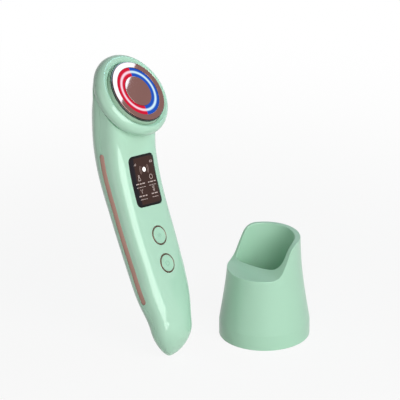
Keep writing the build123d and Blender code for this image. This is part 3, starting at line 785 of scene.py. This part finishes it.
finishes = {
    "wand_plastic": plastic("mintGloss", colour=colour(184, 227, 201), drift=18, grain=1400, ripple=260,
                            roughness=0.05, unevenness=0.03, relief=0.000003, ior=1.5),
    "key_plastic": plastic("keySatin", colour=colour(178, 222, 196), grain=2200, speck=0.06,
                           roughness=0.28, unevenness=0.08),
    "stand_plastic": plastic("mintSatin", colour=colour(178, 222, 195), drift=22, grain=1700, ripple=420,
                             speck=0.06, roughness=0.27, unevenness=0.06, relief=0.000006, ior=1.5),
    "recess_plastic": plastic("moatGreen", colour=colour(168, 196, 174), drift=70, ripple=600,
                              speck=0.08, roughness=0.25),
    "dark_plastic": plastic("blackHousing", colour=colour(38, 36, 36), drift=80, grain=2400, ripple=700,
                            speck=0.1, roughness=0.42, unevenness=0.12, relief=0.00002),
    "white_plastic": plastic("whiteCarrier", colour=colour(222, 220, 214), roughness=0.4, relief=0.00002),
    "led_lens": plastic("clearLens", colour=colour(240, 236, 214), drift=200, grain=2600, ripple=900,
                        speck=0.04, roughness=0.12, unevenness=0.06, ior=1.52),
    "mirror_metal": metal("bronzeMirror", colour=colour(136, 98, 93), drift=90, grain=500, stretch=(1, 1, 6),
                          roughness=0.02, unevenness=0.02, relief=0.0000004),
    "dark_chrome": metal("blackChrome", colour=colour(92, 88, 90), drift=120, grain=900, stretch=(1, 1, 3),
                         roughness=0.06, unevenness=0.05, relief=0.000001),
    "rose_metal": metal("rosePlate", colour=colour(153, 119, 109), drift=70, roughness=0.24, unevenness=0.14),
    "brass": metal("goldPlate", colour=colour(208, 168, 96), drift=150, stretch=(1, 1, 0.3),
                   unevenness=0.15, relief=0.000006),
    "steel": metal("brightSteel", colour=colour(186, 188, 190), drift=120, grain=1300, stretch=(1, 0.1, 1),
                   roughness=0.22, unevenness=0.2, relief=0.000008),
    "ceramic": matte("heaterCeramic", colour=colour(224, 220, 208), grain=1600,
                     roughness=0.55, relief=0.00002),
    "pad_rubber": matte("foamTape", colour=colour(44, 44, 46), grain=2600, roughness=0.75, relief=0.0001),
    "foot_rubber": matte("footRubber", colour=colour(52, 54, 53), grain=1800, roughness=0.7, relief=0.00006),
    "circuit_board": circuitBoard(
        "greenBoard", colour=colour(22, 84, 52), track=colour(52, 128, 84), pad=colour(206, 196, 168),
        pitch=420, wander=0.75, trackEnds=((0.28, 0.34), (0.40, 0.46)), padEnds=(0.07, 0.1),
        roughness=0.42, padGloss=0.15, padMetal=0.8, relief=0.00005, bump=0.5),
    "battery_wrap": filmWrap("blueFilm", colour=colour(40, 92, 168), shades=(1.0, 1.5), grain=240,
                             stretch=(1, 1, 0.3), creaseEnds=(0.35, 0.7), roughness=0.2, unevenness=0.2,
                             relief=0.0001, bump=0.5),
    "red_light": litRing("redLight", colour=colour(212, 30, 58), centre=colour(255, 222, 238)),
    "blue_light": litRing("blueLight", colour=colour(36, 86, 192), centre=colour(216, 246, 255)),
    "display_glass": smokedGlass(
        "smokedGlass", colour=colour(60, 33, 25), border=colour(12, 8, 10), dimmed=colour(20, 12, 24),
        shades=(0.93, 1.07), borderEnds=(0.9, 0.93), grain=300, roughness=0.05, unevenness=0.03,
        relief=0.000004, bump=0.4, ior=1.28),
}
iconLight = glowing("iconLight", colour=colour(206, 186, 180), strength=0.55)
dotLight = glowing("dotLight", colour=colour(255, 250, 246), strength=1.1)
arcLight = glowing("arcLight", colour=colour(150, 122, 114), strength=0.4)
glyphInk = plastic("glyphInk", colour=colour(132, 184, 156), roughness=0.35, unevenness=0.05, relief=0.000004)
ringCopper = metal("ringCopper", colour=colour(118, 86, 74), drift=70, unevenness=0.1)

slotOf = {part["node"]: part["material_slot"] for part in frame["record"]["subparts"]}
for name, node in frame["nodes"].items():
    node.data.materials.clear()
    node.data.materials.append(finishes[slotOf[name]])
print("finishes ready")

# two moulded halves, with openings for the window, the keys, the strips and the charging socket;
# each cut is from one height over the opening's seat to another
window = {"width": 22.3, "length": 31.0, "corner": 3.2, "height": 106.4, "gap": 0.16, "edge": 0.3,
          "side": 0.8, "deep": 1.6, "sink": 0.05, "cut": (-8, 4), "loops": 26, "loopEnds": (0.985, 0.09),
          "outlineStep": 0.5, "paintedShadeFrom": -6.4, "paintedShadeFade": 1.2}
keyRing = {"inner": 5.3, "outer": 5.94, "proud": 0.22, "depth": 1.5, "gap": 0.16, "corner": 0.2,
           "innerCorner": 0.05, "cut": (-6, 4)}
socket = {"height": 27.0, "width": 9.4, "thickness": 3.6, "cut": (0, 14)}


def keySeat(name):
    # centre of the ring and the direction the key is pressed against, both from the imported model
    axis = next(j["axis"] for j in frame["joints"] if j["name"] == name + "_press")
    normal = -np.array(axis) / np.linalg.norm(axis)
    corners = np.array(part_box(name + "_button_ring")) / mm
    origin = corners.mean(0) + normal * (keyRing["depth"] - keyRing["proud"]) / 2
    along = np.cross(normal, wandTurn @ acrossAxis)
    along = along / np.linalg.norm(along)
    return origin, np.cross(along, normal), along, normal


keySeats = {name: keySeat(name) for name in ("mode", "power")}
windowFace = faceSeat(window["height"])


def grooveCutter(side):
    deep = strip["sink"] + strip["thickness"] + strip["grooveDepth"]
    rise = strip["cutterRise"]
    return flankRibbon(side, strip["radius"] + strip["gap"], [(-1, deep), (-1, -rise), (1, -rise), (1, deep)])


def shellCutters(front):
    cutters = [grooveCutter(-1), grooveCutter(1)]
    if front:
        gap = window["gap"]
        outline = roundBox(window["width"] + 2 * gap, window["length"] + 2 * gap, window["corner"] + gap)
        cutters.append(prism(outline, stoodSeat(*windowFace), *window["cut"]))
        opening = circle(keyRing["outer"] + keyRing["gap"])
        cutters += [prism(opening, seat, *keyRing["cut"]) for seat in keySeats.values()]
    else:
        # the corner stays just under half of the thickness, so that no two points fall together
        mouth = roundBox(socket["width"], socket["thickness"], socket["thickness"] / 2 - 0.001)
        seat = stoodSeat((0, wand["tailPivot"], socket["height"]), acrossAxis, upAxis, depthAxis)
        cutters.append(prism(mouth, seat, *socket["cut"]))
    return [makePiece("cutter", [cutter]) for cutter in cutters]


for name, node, front in (("frontSkin", "front_shell", True), ("backSkin", "back_shell", False)):
    skin = makePiece(name, [halfShell(front)])
    carve(skin, shellCutters(front))
    place(skin, "wand", node)
    print(name, len(skin.data.polygons), "faces")

# rose metal strips in the flanks
for name, node, side in (("stripLeft", "side_strip_left", -1), ("stripRight", "side_strip_right", 1)):
    top, crown = strip["sink"], strip["crown"]
    deep = top + strip["thickness"]
    section = [(-1, deep)] + [(-share, top + drop) for share, drop in crown[:0:-1]]
    section += [(share, top + drop) for share, drop in crown] + [(1, deep)]
    place(makePiece(name, [flankRibbon(side, strip["radius"], section)]), "wand", node)
print("strips ready")

key = {"heights": {"mode": 72.3, "power": 54.9}, "radius": 5.1, "proud": 0.5, "dish": 0.35, "edge": 0.3,
       "guide": 3.65, "flange": 0.8, "flangeWidth": 0.9, "stem": 1.3, "boardFront": 8.6, "switch": 2.8,
       "middle": (0.15, 0.1), "glyph": {"half": 0.2, "base": -0.05, "top": 0.025}}


def capHeight(share):
    # the cap's dish, from the square of the distance to its middle as a share of the radius
    return key["proud"] - key["dish"] * (1 - share)


def keyProfile(height):
    # a dished cap with a rolled edge, a stop flange and a stem, from the cap's middle to the stem's end
    radius, stem, first, last = key["radius"], key["stem"], *key["middle"]
    radii = np.linspace(first, radius - key["edge"], 24)
    cap = np.stack([radii, capHeight((radii / radius) ** 2)], -1)
    roll = rolledEdge(radius, cap[-1, 1], key["edge"], 7)[1:]
    wide, high = radius + key["flangeWidth"], -key["guide"]
    low = high - key["flange"]
    end = -(key["boardFront"] - key["switch"] - rowsAtHeight(height)[2])
    rest = [(radius, high), (wide, high), (wide, low), (stem, low), (stem, end), (last, end)]
    return supported(np.vstack([cap, roll, rest]), 0.1, False)


def onCap(seat):
    # gives a function that lays points on the dished cap
    origin, x, y, normal = seat

    def laid(across, along, lift):
        height = capHeight((across ** 2 + along ** 2) / key["radius"] ** 2) + lift
        return (origin + across[..., None] * x + along[..., None] * y + height[..., None] * normal) * mm

    return laid


def mark(paths, half, base, top, laid, flatShare=0.8):
    # raised lines on a surface: each path is (points, closed), and its section is a low trapezium
    section = np.array([(-1, base), (-flatShare, top), (flatShare, top), (1, base)])
    parts = []
    for path, closed in paths:
        path = np.array(path, float)
        before, after = np.roll(path, 1, 0), np.roll(path, -1, 0)
        if not closed:
            before[0], after[-1] = path[0], path[-1]
        heading = (after - before) / np.linalg.norm(after - before, axis=1, keepdims=True)
        side = np.stack([-heading[:, 1], heading[:, 0]], -1)
        flat = path[:, None] + section[None, :, :1] * half * side[:, None]
        points = laid(flat[..., 0], flat[..., 1], np.broadcast_to(section[:, 1], flat.shape[:2]))
        parts.append(torus(points) if closed else tube(points))
    return parts


def arc(centre, radius, start, end, count):
    # part of a circle, from one angle to another, in degrees
    return np.array(centre) + radius * onCircle(np.radians(np.linspace(start, end, count)))


def ringMark(centre, radius, count):
    return arc(centre, radius, 0, 360, count)[:-1], True


def line(a, b, count=6):
    share = np.linspace(0, 1, count)[:, None]
    return np.array(a) + (np.array(b) - np.array(a)) * share, False


def looped(corners, step):
    return denser(np.array(corners, float), step), True


glyphs = {
    "mode": [line((x, -h), (x, h)) for x, h in ((-1.2, 0.7), (0, 1.3), (1.2, 0.7))],
    "power": [(arc((0, 0), 1.45, 125, 415, 36), False), line((0, 0.4), (0, 1.9))],
}
inner, outer, proud, depth = (keyRing[name] for name in ("inner", "outer", "proud", "depth"))
small, large = keyRing["innerCorner"], keyRing["corner"]
ringCorners = [(inner, -depth), (outer, -depth), (outer, proud), (inner, proud)]
ringProfile = supported(rounded(ringCorners, (small, small, large, large)), 0.08)
for name, seat in keySeats.items():
    node, body, glyph = name + "_button", name + "_key", key["glyph"]
    cap = makePiece(name + "Key", [tube(revolved(keyProfile(key["heights"][name]), seat))])
    place(cap, body, node)
    shapes = mark(glyphs[name], glyph["half"], glyph["base"], glyph["top"], onCap(seat))
    place(makePiece(name + "Glyph", shapes), body, slot=slotOf[node], material=glyphInk)
    trim = makePiece(name + "Ring", [torus(revolved(ringProfile, seat))])
    place(trim, "wand", node + "_ring", material=ringCopper)
print("keys ready")


def windowPiece():
    # loops of a rounded outline drawn in towards its middle, laid on the face,
    # with a rolled rim and a straight side
    edge, count, width = window["edge"], window["loops"], window["width"] / 2
    outline = denser(roundBox(window["width"], window["length"], window["corner"]), window["outlineStep"])
    turn = np.linspace(0, math.pi / 2, 6)
    inward = [np.linspace(*window["loopEnds"], count) * width, edge * (1 - np.sin(turn)), np.zeros(2)]
    inset = [np.zeros(count), edge * (1 - np.cos(turn)), (window["side"], window["deep"])]
    inset = np.concatenate(inset) + window["sink"]
    share = 1 - np.concatenate(inward) / width
    loops = outline[None] * share[:, None, None]
    points = onFace(windowFace, loops[..., 0], loops[..., 1], inset[:, None])
    # painted shade for the glass: dim grows from 0 to 1 towards the window's left edge
    dim = np.clip((window["paintedShadeFrom"] - loops[..., 0]) / window["paintedShadeFade"], 0, 1)
    # the two points that close the tube come last
    attributes = (("border", np.append(np.repeat(share, len(outline)), (0, 1))),
                  ("dim", np.append(dim.ravel(), (0, 1))))
    return makePiece("displayGlass", [tube(stood(points) * mm)], attributes=attributes)


place(windowPiece(), "wand", "display_window")


def onGlass(across, along, lift):
    # points laid on the window, counted from the middle of its marks
    right, up = display["shift"]
    return stood(onFace(windowFace, across + right, along + up, window["sink"] - lift)) * mm


def dashes(centre, lengths, gap=0.75):
    # a row of short bars, set out from its middle
    x, y = centre
    total = sum(lengths) + gap * (len(lengths) - 1)
    starts = x - total / 2 + np.concatenate([[0], np.cumsum(np.array(lengths[:-1]) + gap)])
    return [line((start, y), (start + length, y), 4) for start, length in zip(starts, lengths)]


# lit marks under the glass, in mm from its middle: half width, light and paths
display = {
    "shift": (0.9, 0.5), "base": -0.06, "top": 0.03, "dotCentre": (0.3, 6.1),
    "dotRings": ((0.05, 0.05), (0.7, 0.05), (1.2, 0.04), (1.4, 0.02), (1.45, -0.06)),   # radius, height
}
marks = {
    "fine": (0.17, iconLight, [
        ringMark((5.1, 1.0), 1.35, 33),
        looped(((-6.5, 0.0), (-4.4, 0.0), (-5.05, 2.0), (-5.85, 2.0)), 0.4),
        ringMark((-5.45, 2.75), 0.5, 17),
        line((-5.5, -7.9), (-5.5, -6.3)), line((-6.5, -5.4), (-6.0, -6.3)), line((-4.5, -5.4), (-5.0, -6.3)),
        line((4.1, -5.0), (6.1, -5.0)), line((4.1, -5.8), (6.1, -5.8)),
        looped(((4.4, -6.8), (5.8, -6.8), (5.1, -7.9)), 0.3),
        line((-7.9, 9.3), (-6.5, 10.5)), line((-6.9, 9.2), (-6.1, 9.9)),
        looped(((6.2, 9.6), (8.2, 9.6), (8.2, 10.6), (6.2, 10.6)), 0.3),
    ]),
    "captions": (0.33, iconLight, [
        *dashes((-5.3, -2.0), (2.6, 1.4, 2.2)), *dashes((5.0, -2.0), (1.2, 2.4, 1.8)),
        *dashes((-5.3, -9.4), (2.2, 1.8, 1.6)), *dashes((5.0, -9.2), (1.9, 2.6)),
    ]),
    "notes": (0.17, iconLight, [
        *dashes((-5.3, -4.1), (1.6, 2.1, 1.1, 1.3), 0.5), *dashes((5.0, -4.0), (2.2, 1.2, 1.9), 0.5),
        *dashes((-5.3, -11.5), (2.4, 1.5, 1.2), 0.5), *dashes((5.0, -11.3), (1.3, 1.9, 1.0), 0.5),
    ]),
    "arcs": (0.2, arcLight, [(arc(display["dotCentre"], radius, start, start + 80, 16), False)
                             for radius in (2.9, 3.9) for start in (-40, 140)]),
}
for name, (half, light, paths) in marks.items():
    shapes = mark(paths, half, display["base"], display["top"], onGlass)
    place(makePiece("display" + name.capitalize(), shapes), "wand", slot="display_glass", material=light)
radius, lift = np.array(display["dotRings"]).T[..., None]
across, along = (middle + radius * ring for middle, ring in zip(display["dotCentre"], circle(1.0, 48).T))
dot = tube(onGlass(across, along, np.broadcast_to(lift, across.shape)))
place(makePiece("displayDot", [dot]), "wand", slot="display_glass", material=dotLight)
print("display ready")

# treatment head, turned about its own axis; a pair is a radius and a depth
collar = {
    "rim": (24.3, 12.0), "hip": (25.55, 10.75), "widest": (26.8, 7.0), "cheek": (25.5, 3.55),
    "crest": (24.0, 2.35), "crestEase": ((0.45, 0.28), (-0.25, -0.02)),
    "bore": 20.95, "lead": (2.6, 1.2), "leadShares": ((0.6, 0.38), (0.14, 0.87)), "leadEnd": (0.15, 0.3),
    "boreDepth": 5.6, "step": 20.0, "stepDepth": 10.2, "web": 17.0, "points": 80,
}


def collarPiece():
    # the outside is a smooth line through the rim, the widest point and the crest; the bore is stepped
    (crest, front), bore, (wide, drop) = collar["crest"], collar["bore"], collar["lead"]
    firstEnd, lastEnd = collar["leadEnd"]
    outside = [collar[name] for name in ("rim", "hip", "widest", "cheek")]
    outside += [(crest + out, front + down) for out, down in collar["crestEase"]]
    outside += [(bore + wide * out, front + drop * down) for out, down in collar["leadShares"]]
    outside.append((bore, front + drop + firstEnd))
    outside = chordSpline(np.array(outside) * (1, -1), collar["points"])
    floor, step, stepDepth, web = (collar[name] for name in ("boreDepth", "step", "stepDepth", "web"))
    inside = [(bore, front + drop + lastEnd), (bore, floor), (step, floor), (step, stepDepth),
              (web, stepDepth), (web, collar["rim"][1])]
    profile = np.vstack([outside, np.array(inside) * (1, -1)])
    share = np.clip((profile[:, 0] - bore) / (crest - bore), 0, 1) * (np.arange(len(profile)) < len(outside))
    return makePiece("collar", [torus(revolved(profile, headSeat, shift=head["rise"] * share))])


place(collarPiece(), "wand", "head_collar")

rings = {
    # node, corners as (radius, height), and the corners' radii
    "moat": ("recess_ring", [(20.1, -1.5), (20.65, -3.5), (20.65, -4.3), (20.1, -4.3)], 0.06),
    "bezel": ("bezel_ring", [(19.6, -0.5), (20.0, -0.5), (20.0, -4.3), (19.6, -4.3)],
              (0.1, 0.14, 0.05, 0.05)),
    "outerPlate": ("outer_electrode", [(15.9, 0), (19.5, 0), (19.5, -1.2), (15.9, -1.2)],
                   (0.12, 0.22, 0.05, 0.05)),
}
for name, (node, corners, radii) in rings.items():
    profile = supported(rounded(corners, radii), 0.1)
    place(makePiece(name, [torus(revolved(profile, headSeat))]), "wand", node)

disc = {"radius": 9.9, "thickness": 1.2, "edge": 0.15, "middle": 0.2}
radius, low, middle = disc["radius"], -disc["thickness"], disc["middle"]
roll = rolledEdge(radius, 0, disc["edge"], 6)
profile = supported(np.vstack([[(middle, 0)], roll, [(radius, low), (middle, low)]]), 0.1, False)
place(makePiece("centrePlate", [tube(revolved(profile, headSeat))]), "wand", "centre_electrode")

lens = {"inner": 10.0, "outer": 15.8, "deep": 4.1, "crown": 0.1, "sink": 0.06, "edge": 0.25, "side": 0.3,
        "split": 84.0, "gap": 0.15}   # split and gap in degrees


def lensPiece(name, start):
    # half of a ring, with a slightly crowned top between two rolled edges
    inner, outer, deep, side = (lens[part] for part in ("inner", "outer", "deep", "side"))
    radii = np.linspace(outer - lens["edge"], inner + lens["edge"], 16)
    crown = lens["crown"] * (1 - ((radii - (outer + inner) / 2) / ((outer - inner) / 2)) ** 2) - lens["sink"]
    profile = np.vstack([[(inner, -deep), (outer, -deep), (outer, -side)], np.stack([radii, crown], -1),
                         [(inner, -side)]])
    turns = np.radians(np.linspace(start + lens["gap"], start + 180 - lens["gap"], 90))
    return makePiece(name, [tube(revolved(profile, headSeat, turns).transpose(1, 0, 2))])


place(lensPiece("redLens", lens["split"]), "wand", "light_guide_red")
place(lensPiece("blueLens", lens["split"] + 180), "wand", "light_guide_blue")
print("head ready")

# cup stand; a pair is a radius and a height
cup = {
    "foot": 27.4, "lift": 0.3, "footEdge": 0.35, "band": 9.7, "height": 63.8, "lowLip": 44.1,
    "waist": (24.35, 29.5), "shoulder": (22.5, 46.0), "lip": (21.65, 64.1),
    "scoopStart": -6.4, "scoopEnd": 4.0, "scoopRadius": 9.0, "scoopRepeats": 60,
    "outerEdge": 0.45, "innerEdge": 0.7, "floor": 18.0, "floorRound": 1.5, "pocket": 24.5, "pocketTop": 15.0,
    "bore": {"wide": 19.7, "front": 6.2, "back": 19.3, "centre": (-0.9, -0.36), "turn": 0.12,
             "frontPower": 3.6, "backPower": 1.85, "draft": 0.025},
    "around": 256, "wallRows": 46, "landRows": 22, "boreRows": 40, "boreCrowding": 1.2,
    "bandRows": (3.5, 7.0), "bandEnds": (0.35, 0.12, 0.25),
}


def scoop(y):
    # height of the cut rim: low, a quarter round up, a slope, a quarter round over, high
    low, high, radius = cup["lowLip"], cup["height"], cup["scoopRadius"]
    start, end = cup["scoopStart"], cup["scoopEnd"]
    slope = math.atan2(high - low, end - start)
    reach = radius * math.tan(slope / 2)
    run = reach * math.cos(slope)
    rising = low + (y - start) * math.tan(slope)
    lower = low + radius - np.sqrt(np.maximum(radius ** 2 - (y - start + reach) ** 2, 0))
    upper = high - radius + np.sqrt(np.maximum(radius ** 2 - (y - end - reach) ** 2, 0))
    before = [y < start - reach, y < start + run, y < end - run, y < end + reach]
    return np.select(before, [low, lower, rising, upper], high)


cupWall = chordSpline([(cup["foot"], cup["band"]), cup["waist"], cup["shoulder"], cup["lip"]], 400)


def ringAt(radius, turn, height):
    # a circle about the stand's axis, at one height or at one for each turn
    level = np.broadcast_to(height, np.shape(turn))
    return np.stack([radius * np.cos(turn), radius * np.sin(turn), level], -1)


def wallPoint(turn, height):
    # a straight band, and over it the smooth line of the wall
    curved = np.interp(height, cupWall[:, 1], cupWall[:, 0])
    return ringAt(np.where(height < cup["band"], cup["foot"], curved), turn, height)


def borePoint(turn, height):
    # a D in plan: superellipse halves with a squarer front, narrowing a little towards the floor
    bore = cup["bore"]
    c, s = np.cos(turn), np.sin(turn)
    power = np.where(s < 0, bore["frontPower"], bore["backPower"])
    reach = (abs(c) ** power + abs(s) ** power) ** (-1 / power)
    shrink = 1 - bore["draft"] * (cup["height"] - height) / bore["wide"]
    x = bore["centre"][0] + bore["wide"] * shrink * reach * c
    y = bore["centre"][1] + np.where(s < 0, bore["front"], bore["back"]) * shrink * reach * s
    ct, st = math.cos(bore["turn"]), math.sin(bore["turn"])
    return np.stack([ct * x - st * y, st * x + ct * y, np.broadcast_to(height, np.shape(turn))], -1)


def metScoop(wall, turn):
    # height at which a wall meets the cut rim, by repeated substitution
    height = np.full(len(turn), cup["lowLip"])
    for _ in range(cup["scoopRepeats"]):
        height = 0.5 * height + 0.5 * scoop(wall(turn, height)[:, 1])
    return height


def bentEdge(before, corner, after, radius, steps=6):
    # the corner between two runs, replaced by a parabola that starts and ends a radius away
    start, end = (corner + (side - corner) / np.linalg.norm(side - corner, axis=-1, keepdims=True) * radius
                  for side in (before, after))
    return parabola(start, corner, end, np.linspace(0, 1, steps)[:, None, None])


def cupPiece():
    # rows run from the pocket under the foot, up the wall, over the cut rim and down into the socket
    turn = fullTurn(cup["around"])
    outerTop, innerTop = metScoop(wallPoint, turn), metScoop(borePoint, turn)
    foot, lift, small, band = (cup[part] for part in ("foot", "lift", "footEdge", "band"))
    pocket, top, edge, bead = (cup[part] for part in ("pocket", "pocketTop", "outerEdge", "innerEdge"))
    profile = [(1.0, top), (pocket - 0.1, top), (pocket, top), (pocket, lift + 0.1), (pocket + 0.1, lift)]
    profile += [(foot - small + small * math.sin(a), lift + small * (1 - math.cos(a)))
                for a in np.linspace(0, math.pi / 2, 6)]
    below, close, above = cup["bandEnds"]
    heights = (lift + small + 0.15, *cup["bandRows"], band - below, band - close)
    profile += [(foot, height) for height in heights]
    rows = [ringAt(radius, turn, height)[None] for radius, height in profile]

    # the wall, from just over the band to the outer edge
    share = np.concatenate([[0, 0.01], np.linspace(0.03, 1, cup["wallRows"])])[:, None]
    heights = band + above + share * (outerTop - edge - (band + above))
    rows.append(wallPoint(np.broadcast_to(turn, heights.shape), heights))

    # the cut rim's land, between a small outer and a larger inner rounding
    outer, inner = wallPoint(turn, outerTop), borePoint(turn, innerTop)
    across = np.array((0.0, 0.004, *np.linspace(0.03, 0.97, cup["landRows"]), 0.996, 1.0))[:, None, None]
    span = np.linalg.norm((inner - outer)[:, :2], axis=-1)[:, None]
    first, last = edge / span, 1 - bead / span
    flat = outer[:, :2] + (first + (last - first) * across) * (inner - outer)[:, :2]
    land = np.concatenate([flat, scoop(flat[..., 1])[..., None]], -1)
    rows.append(bentEdge(wallPoint(turn, outerTop - 3 * edge), outer, land[0], edge)[1:-1])
    rows.append(land)
    rows.append(bentEdge(land[-1], inner, borePoint(turn, innerTop - 3 * bead), bead)[1:-1])

    # down the bore and over its rounded floor to the middle
    floor, floorRound = cup["floor"], cup["floorRound"]
    down = np.linspace(0, 1, cup["boreRows"])[:, None] ** cup["boreCrowding"]
    depths = (innerTop - bead) + down * (floor + floorRound - innerTop + bead)
    rows.append(borePoint(np.broadcast_to(turn, depths.shape), depths))
    ring, overRing = (borePoint(turn, np.full(len(turn), height)) for height in (floor, floor + 3))
    middle = ring.mean(0)
    rows.append(bentEdge(overRing, ring, np.broadcast_to(middle, ring.shape), floorRound)[1:])
    rows.append((middle + (ring - middle) * 0.1)[None])
    return makePiece("cup", [tube(np.concatenate(rows) * mm)], sharp=50)


place(cupPiece(), "stand", "stand_body")
print("stand ready")

studio = {
    "skyForObject": 0.05,
    "floor": {"shade": colour(216, 216, 214), "shades": (0.99, 1.0), "grain": 300, "roughness": 0.8,
              "half": 3.0, "middle": (-0.03, -0.03, 0), "seen": 0.9, "fadeEnds": (0.12, 0.45)},
    "aim": (-0.035, -0.03, 0.07),
    # direction from the object in the picture's right, up and towards axes; size and distance in metres
    "lamps": {
        "key": {"from": (0.46, 0.07, 0.89), "distance": 1.1, "size": (1.1, 0.78), "watts": 10.4, "roll": 20},
        "streak": {"from": (0.5, 0.09, 0.85), "distance": 1.05, "size": (1.1, 0.75), "watts": 4.0, "roll": 20,
                   "shade": (0.6, 1.0, 0.84), "matt": False},
        "wide": {"from": (0.5, 0.22, 0.84), "distance": 1.2, "size": (2.6, 2.0), "watts": 2.6},
        "side": {"from": (-0.84, 0.05, 0.54), "distance": 0.42, "size": (0.16, 0.5), "watts": 0.22},
        "rear": {"from": (0.1, 0.3, -0.95), "distance": 1.2, "size": (1.5, 1.2), "watts": 8.0,
                 "gloss": False},
    },
    # the card's edge is two points on the face of the head, in mm
    "card": {"edge": ((8.7, 17.6), (-15.9, -2.1)), "size": (0.06, 0.09), "away": 0.3, "watts": 0.15,
             "shade": (0.39, 0.82, 1.0)},
}


def makeSky():
    # white where it is seen, and much dimmer for the light that it throws on the object
    paint = Paint("sky", "worlds")
    dim, bright = (paint.add("Background", None, {"Color": white, "Strength": strength})
                   for strength in (studio["skyForObject"], 1.0))
    both = paint.add("MixShader", None, {0: paint.seen(), 1: dim, 2: bright})
    paint.add("OutputWorld", None, {"Surface": both})
    scene.world = paint.owner


def makeFloor():
    # a pale sheet whose seen colour goes to plain white away from the object and keeps its shadow near it
    look = studio["floor"]
    paint = Paint("paleFloor")
    away = paint.vector("LENGTH", paint.vector("SUBTRACT", paint.place, look["middle"]), out="Value")
    share = paint.seen() * (paint.step(away, look["fadeEnds"]) * (1 - look["seen"]) + look["seen"])
    body = paint.add("BsdfPrincipled", None, {
        "Base Color": paint.varied(paint.noise(look["grain"], 3), look["shade"], look["shades"]),
        "Roughness": look["roughness"], "Specular IOR Level": 0.0})
    glow = paint.add("Emission", None, {"Color": white, "Strength": 1.0})
    both = paint.add("MixShader", None, {0: share, 1: body, 2: glow})
    paint.add("OutputMaterial", None, {"Surface": both})
    half, mesh = look["half"], bpy.data.meshes.new("floor")
    corners = [(-half, -half, 0), (half, -half, 0), (half, half, 0), (-half, half, 0)]
    mesh.from_pydata(corners, [], [(0, 1, 2, 3)])
    mesh.materials.append(paint.owner)
    linked("floor", mesh)


def addLamp(name, lamp, centre, outward, upward):
    # a lamp behind centre that shines against outward; matt and gloss say which shading it lights
    data = bpy.data.lights.new(name, "AREA")
    data.shape, data.energy, data.color = "RECTANGLE", lamp["watts"], lamp.get("shade", (1, 1, 1))
    data.size, data.size_y = lamp["size"]
    across = upward.cross(outward).normalized()
    body = linked(name, data)
    body.matrix_world = standing(across, outward.cross(across), outward, centre)
    body.visible_camera = False
    body.visible_diffuse, body.visible_glossy = lamp.get("matt", True), lamp.get("gloss", True)


def makeLamps():
    right, up, toward = cameraAxes()
    for name, lamp in studio["lamps"].items():
        side, lift, front = lamp["from"]
        outward = (right * side + up * lift + toward * front).normalized()
        upward = Matrix.Rotation(math.radians(lamp.get("roll", 0)), 3, outward) @ Vector((0, 0, 1))
        addLamp(name, lamp, Vector(studio["aim"]) + outward * lamp["distance"], outward, upward)


def makeCard():
    # a card that the mirror disc sees: one edge crosses the disc between two points of its face
    card = studio["card"]
    origin, x, y, normal = (Vector(v) for v in headSeat)
    start, end = ((origin + x * a + y * b) * mm for a, b in card["edge"])
    toward = (scene.camera.location - origin * mm).normalized()
    sight = (normal * (2 * toward.dot(normal)) - toward).normalized()
    edge = ((end - start) - sight * (end - start).dot(sight)).normalized()
    side = sight.cross(edge)
    if side.dot(x) > 0:
        side = -side
    centre = (start + end) / 2 + sight * card["away"] + side * card["size"][0] / 2
    addLamp("card", card, centre, sight, edge)


makeSky()
makeFloor()
makeLamps()
makeCard()
print("studio ready")
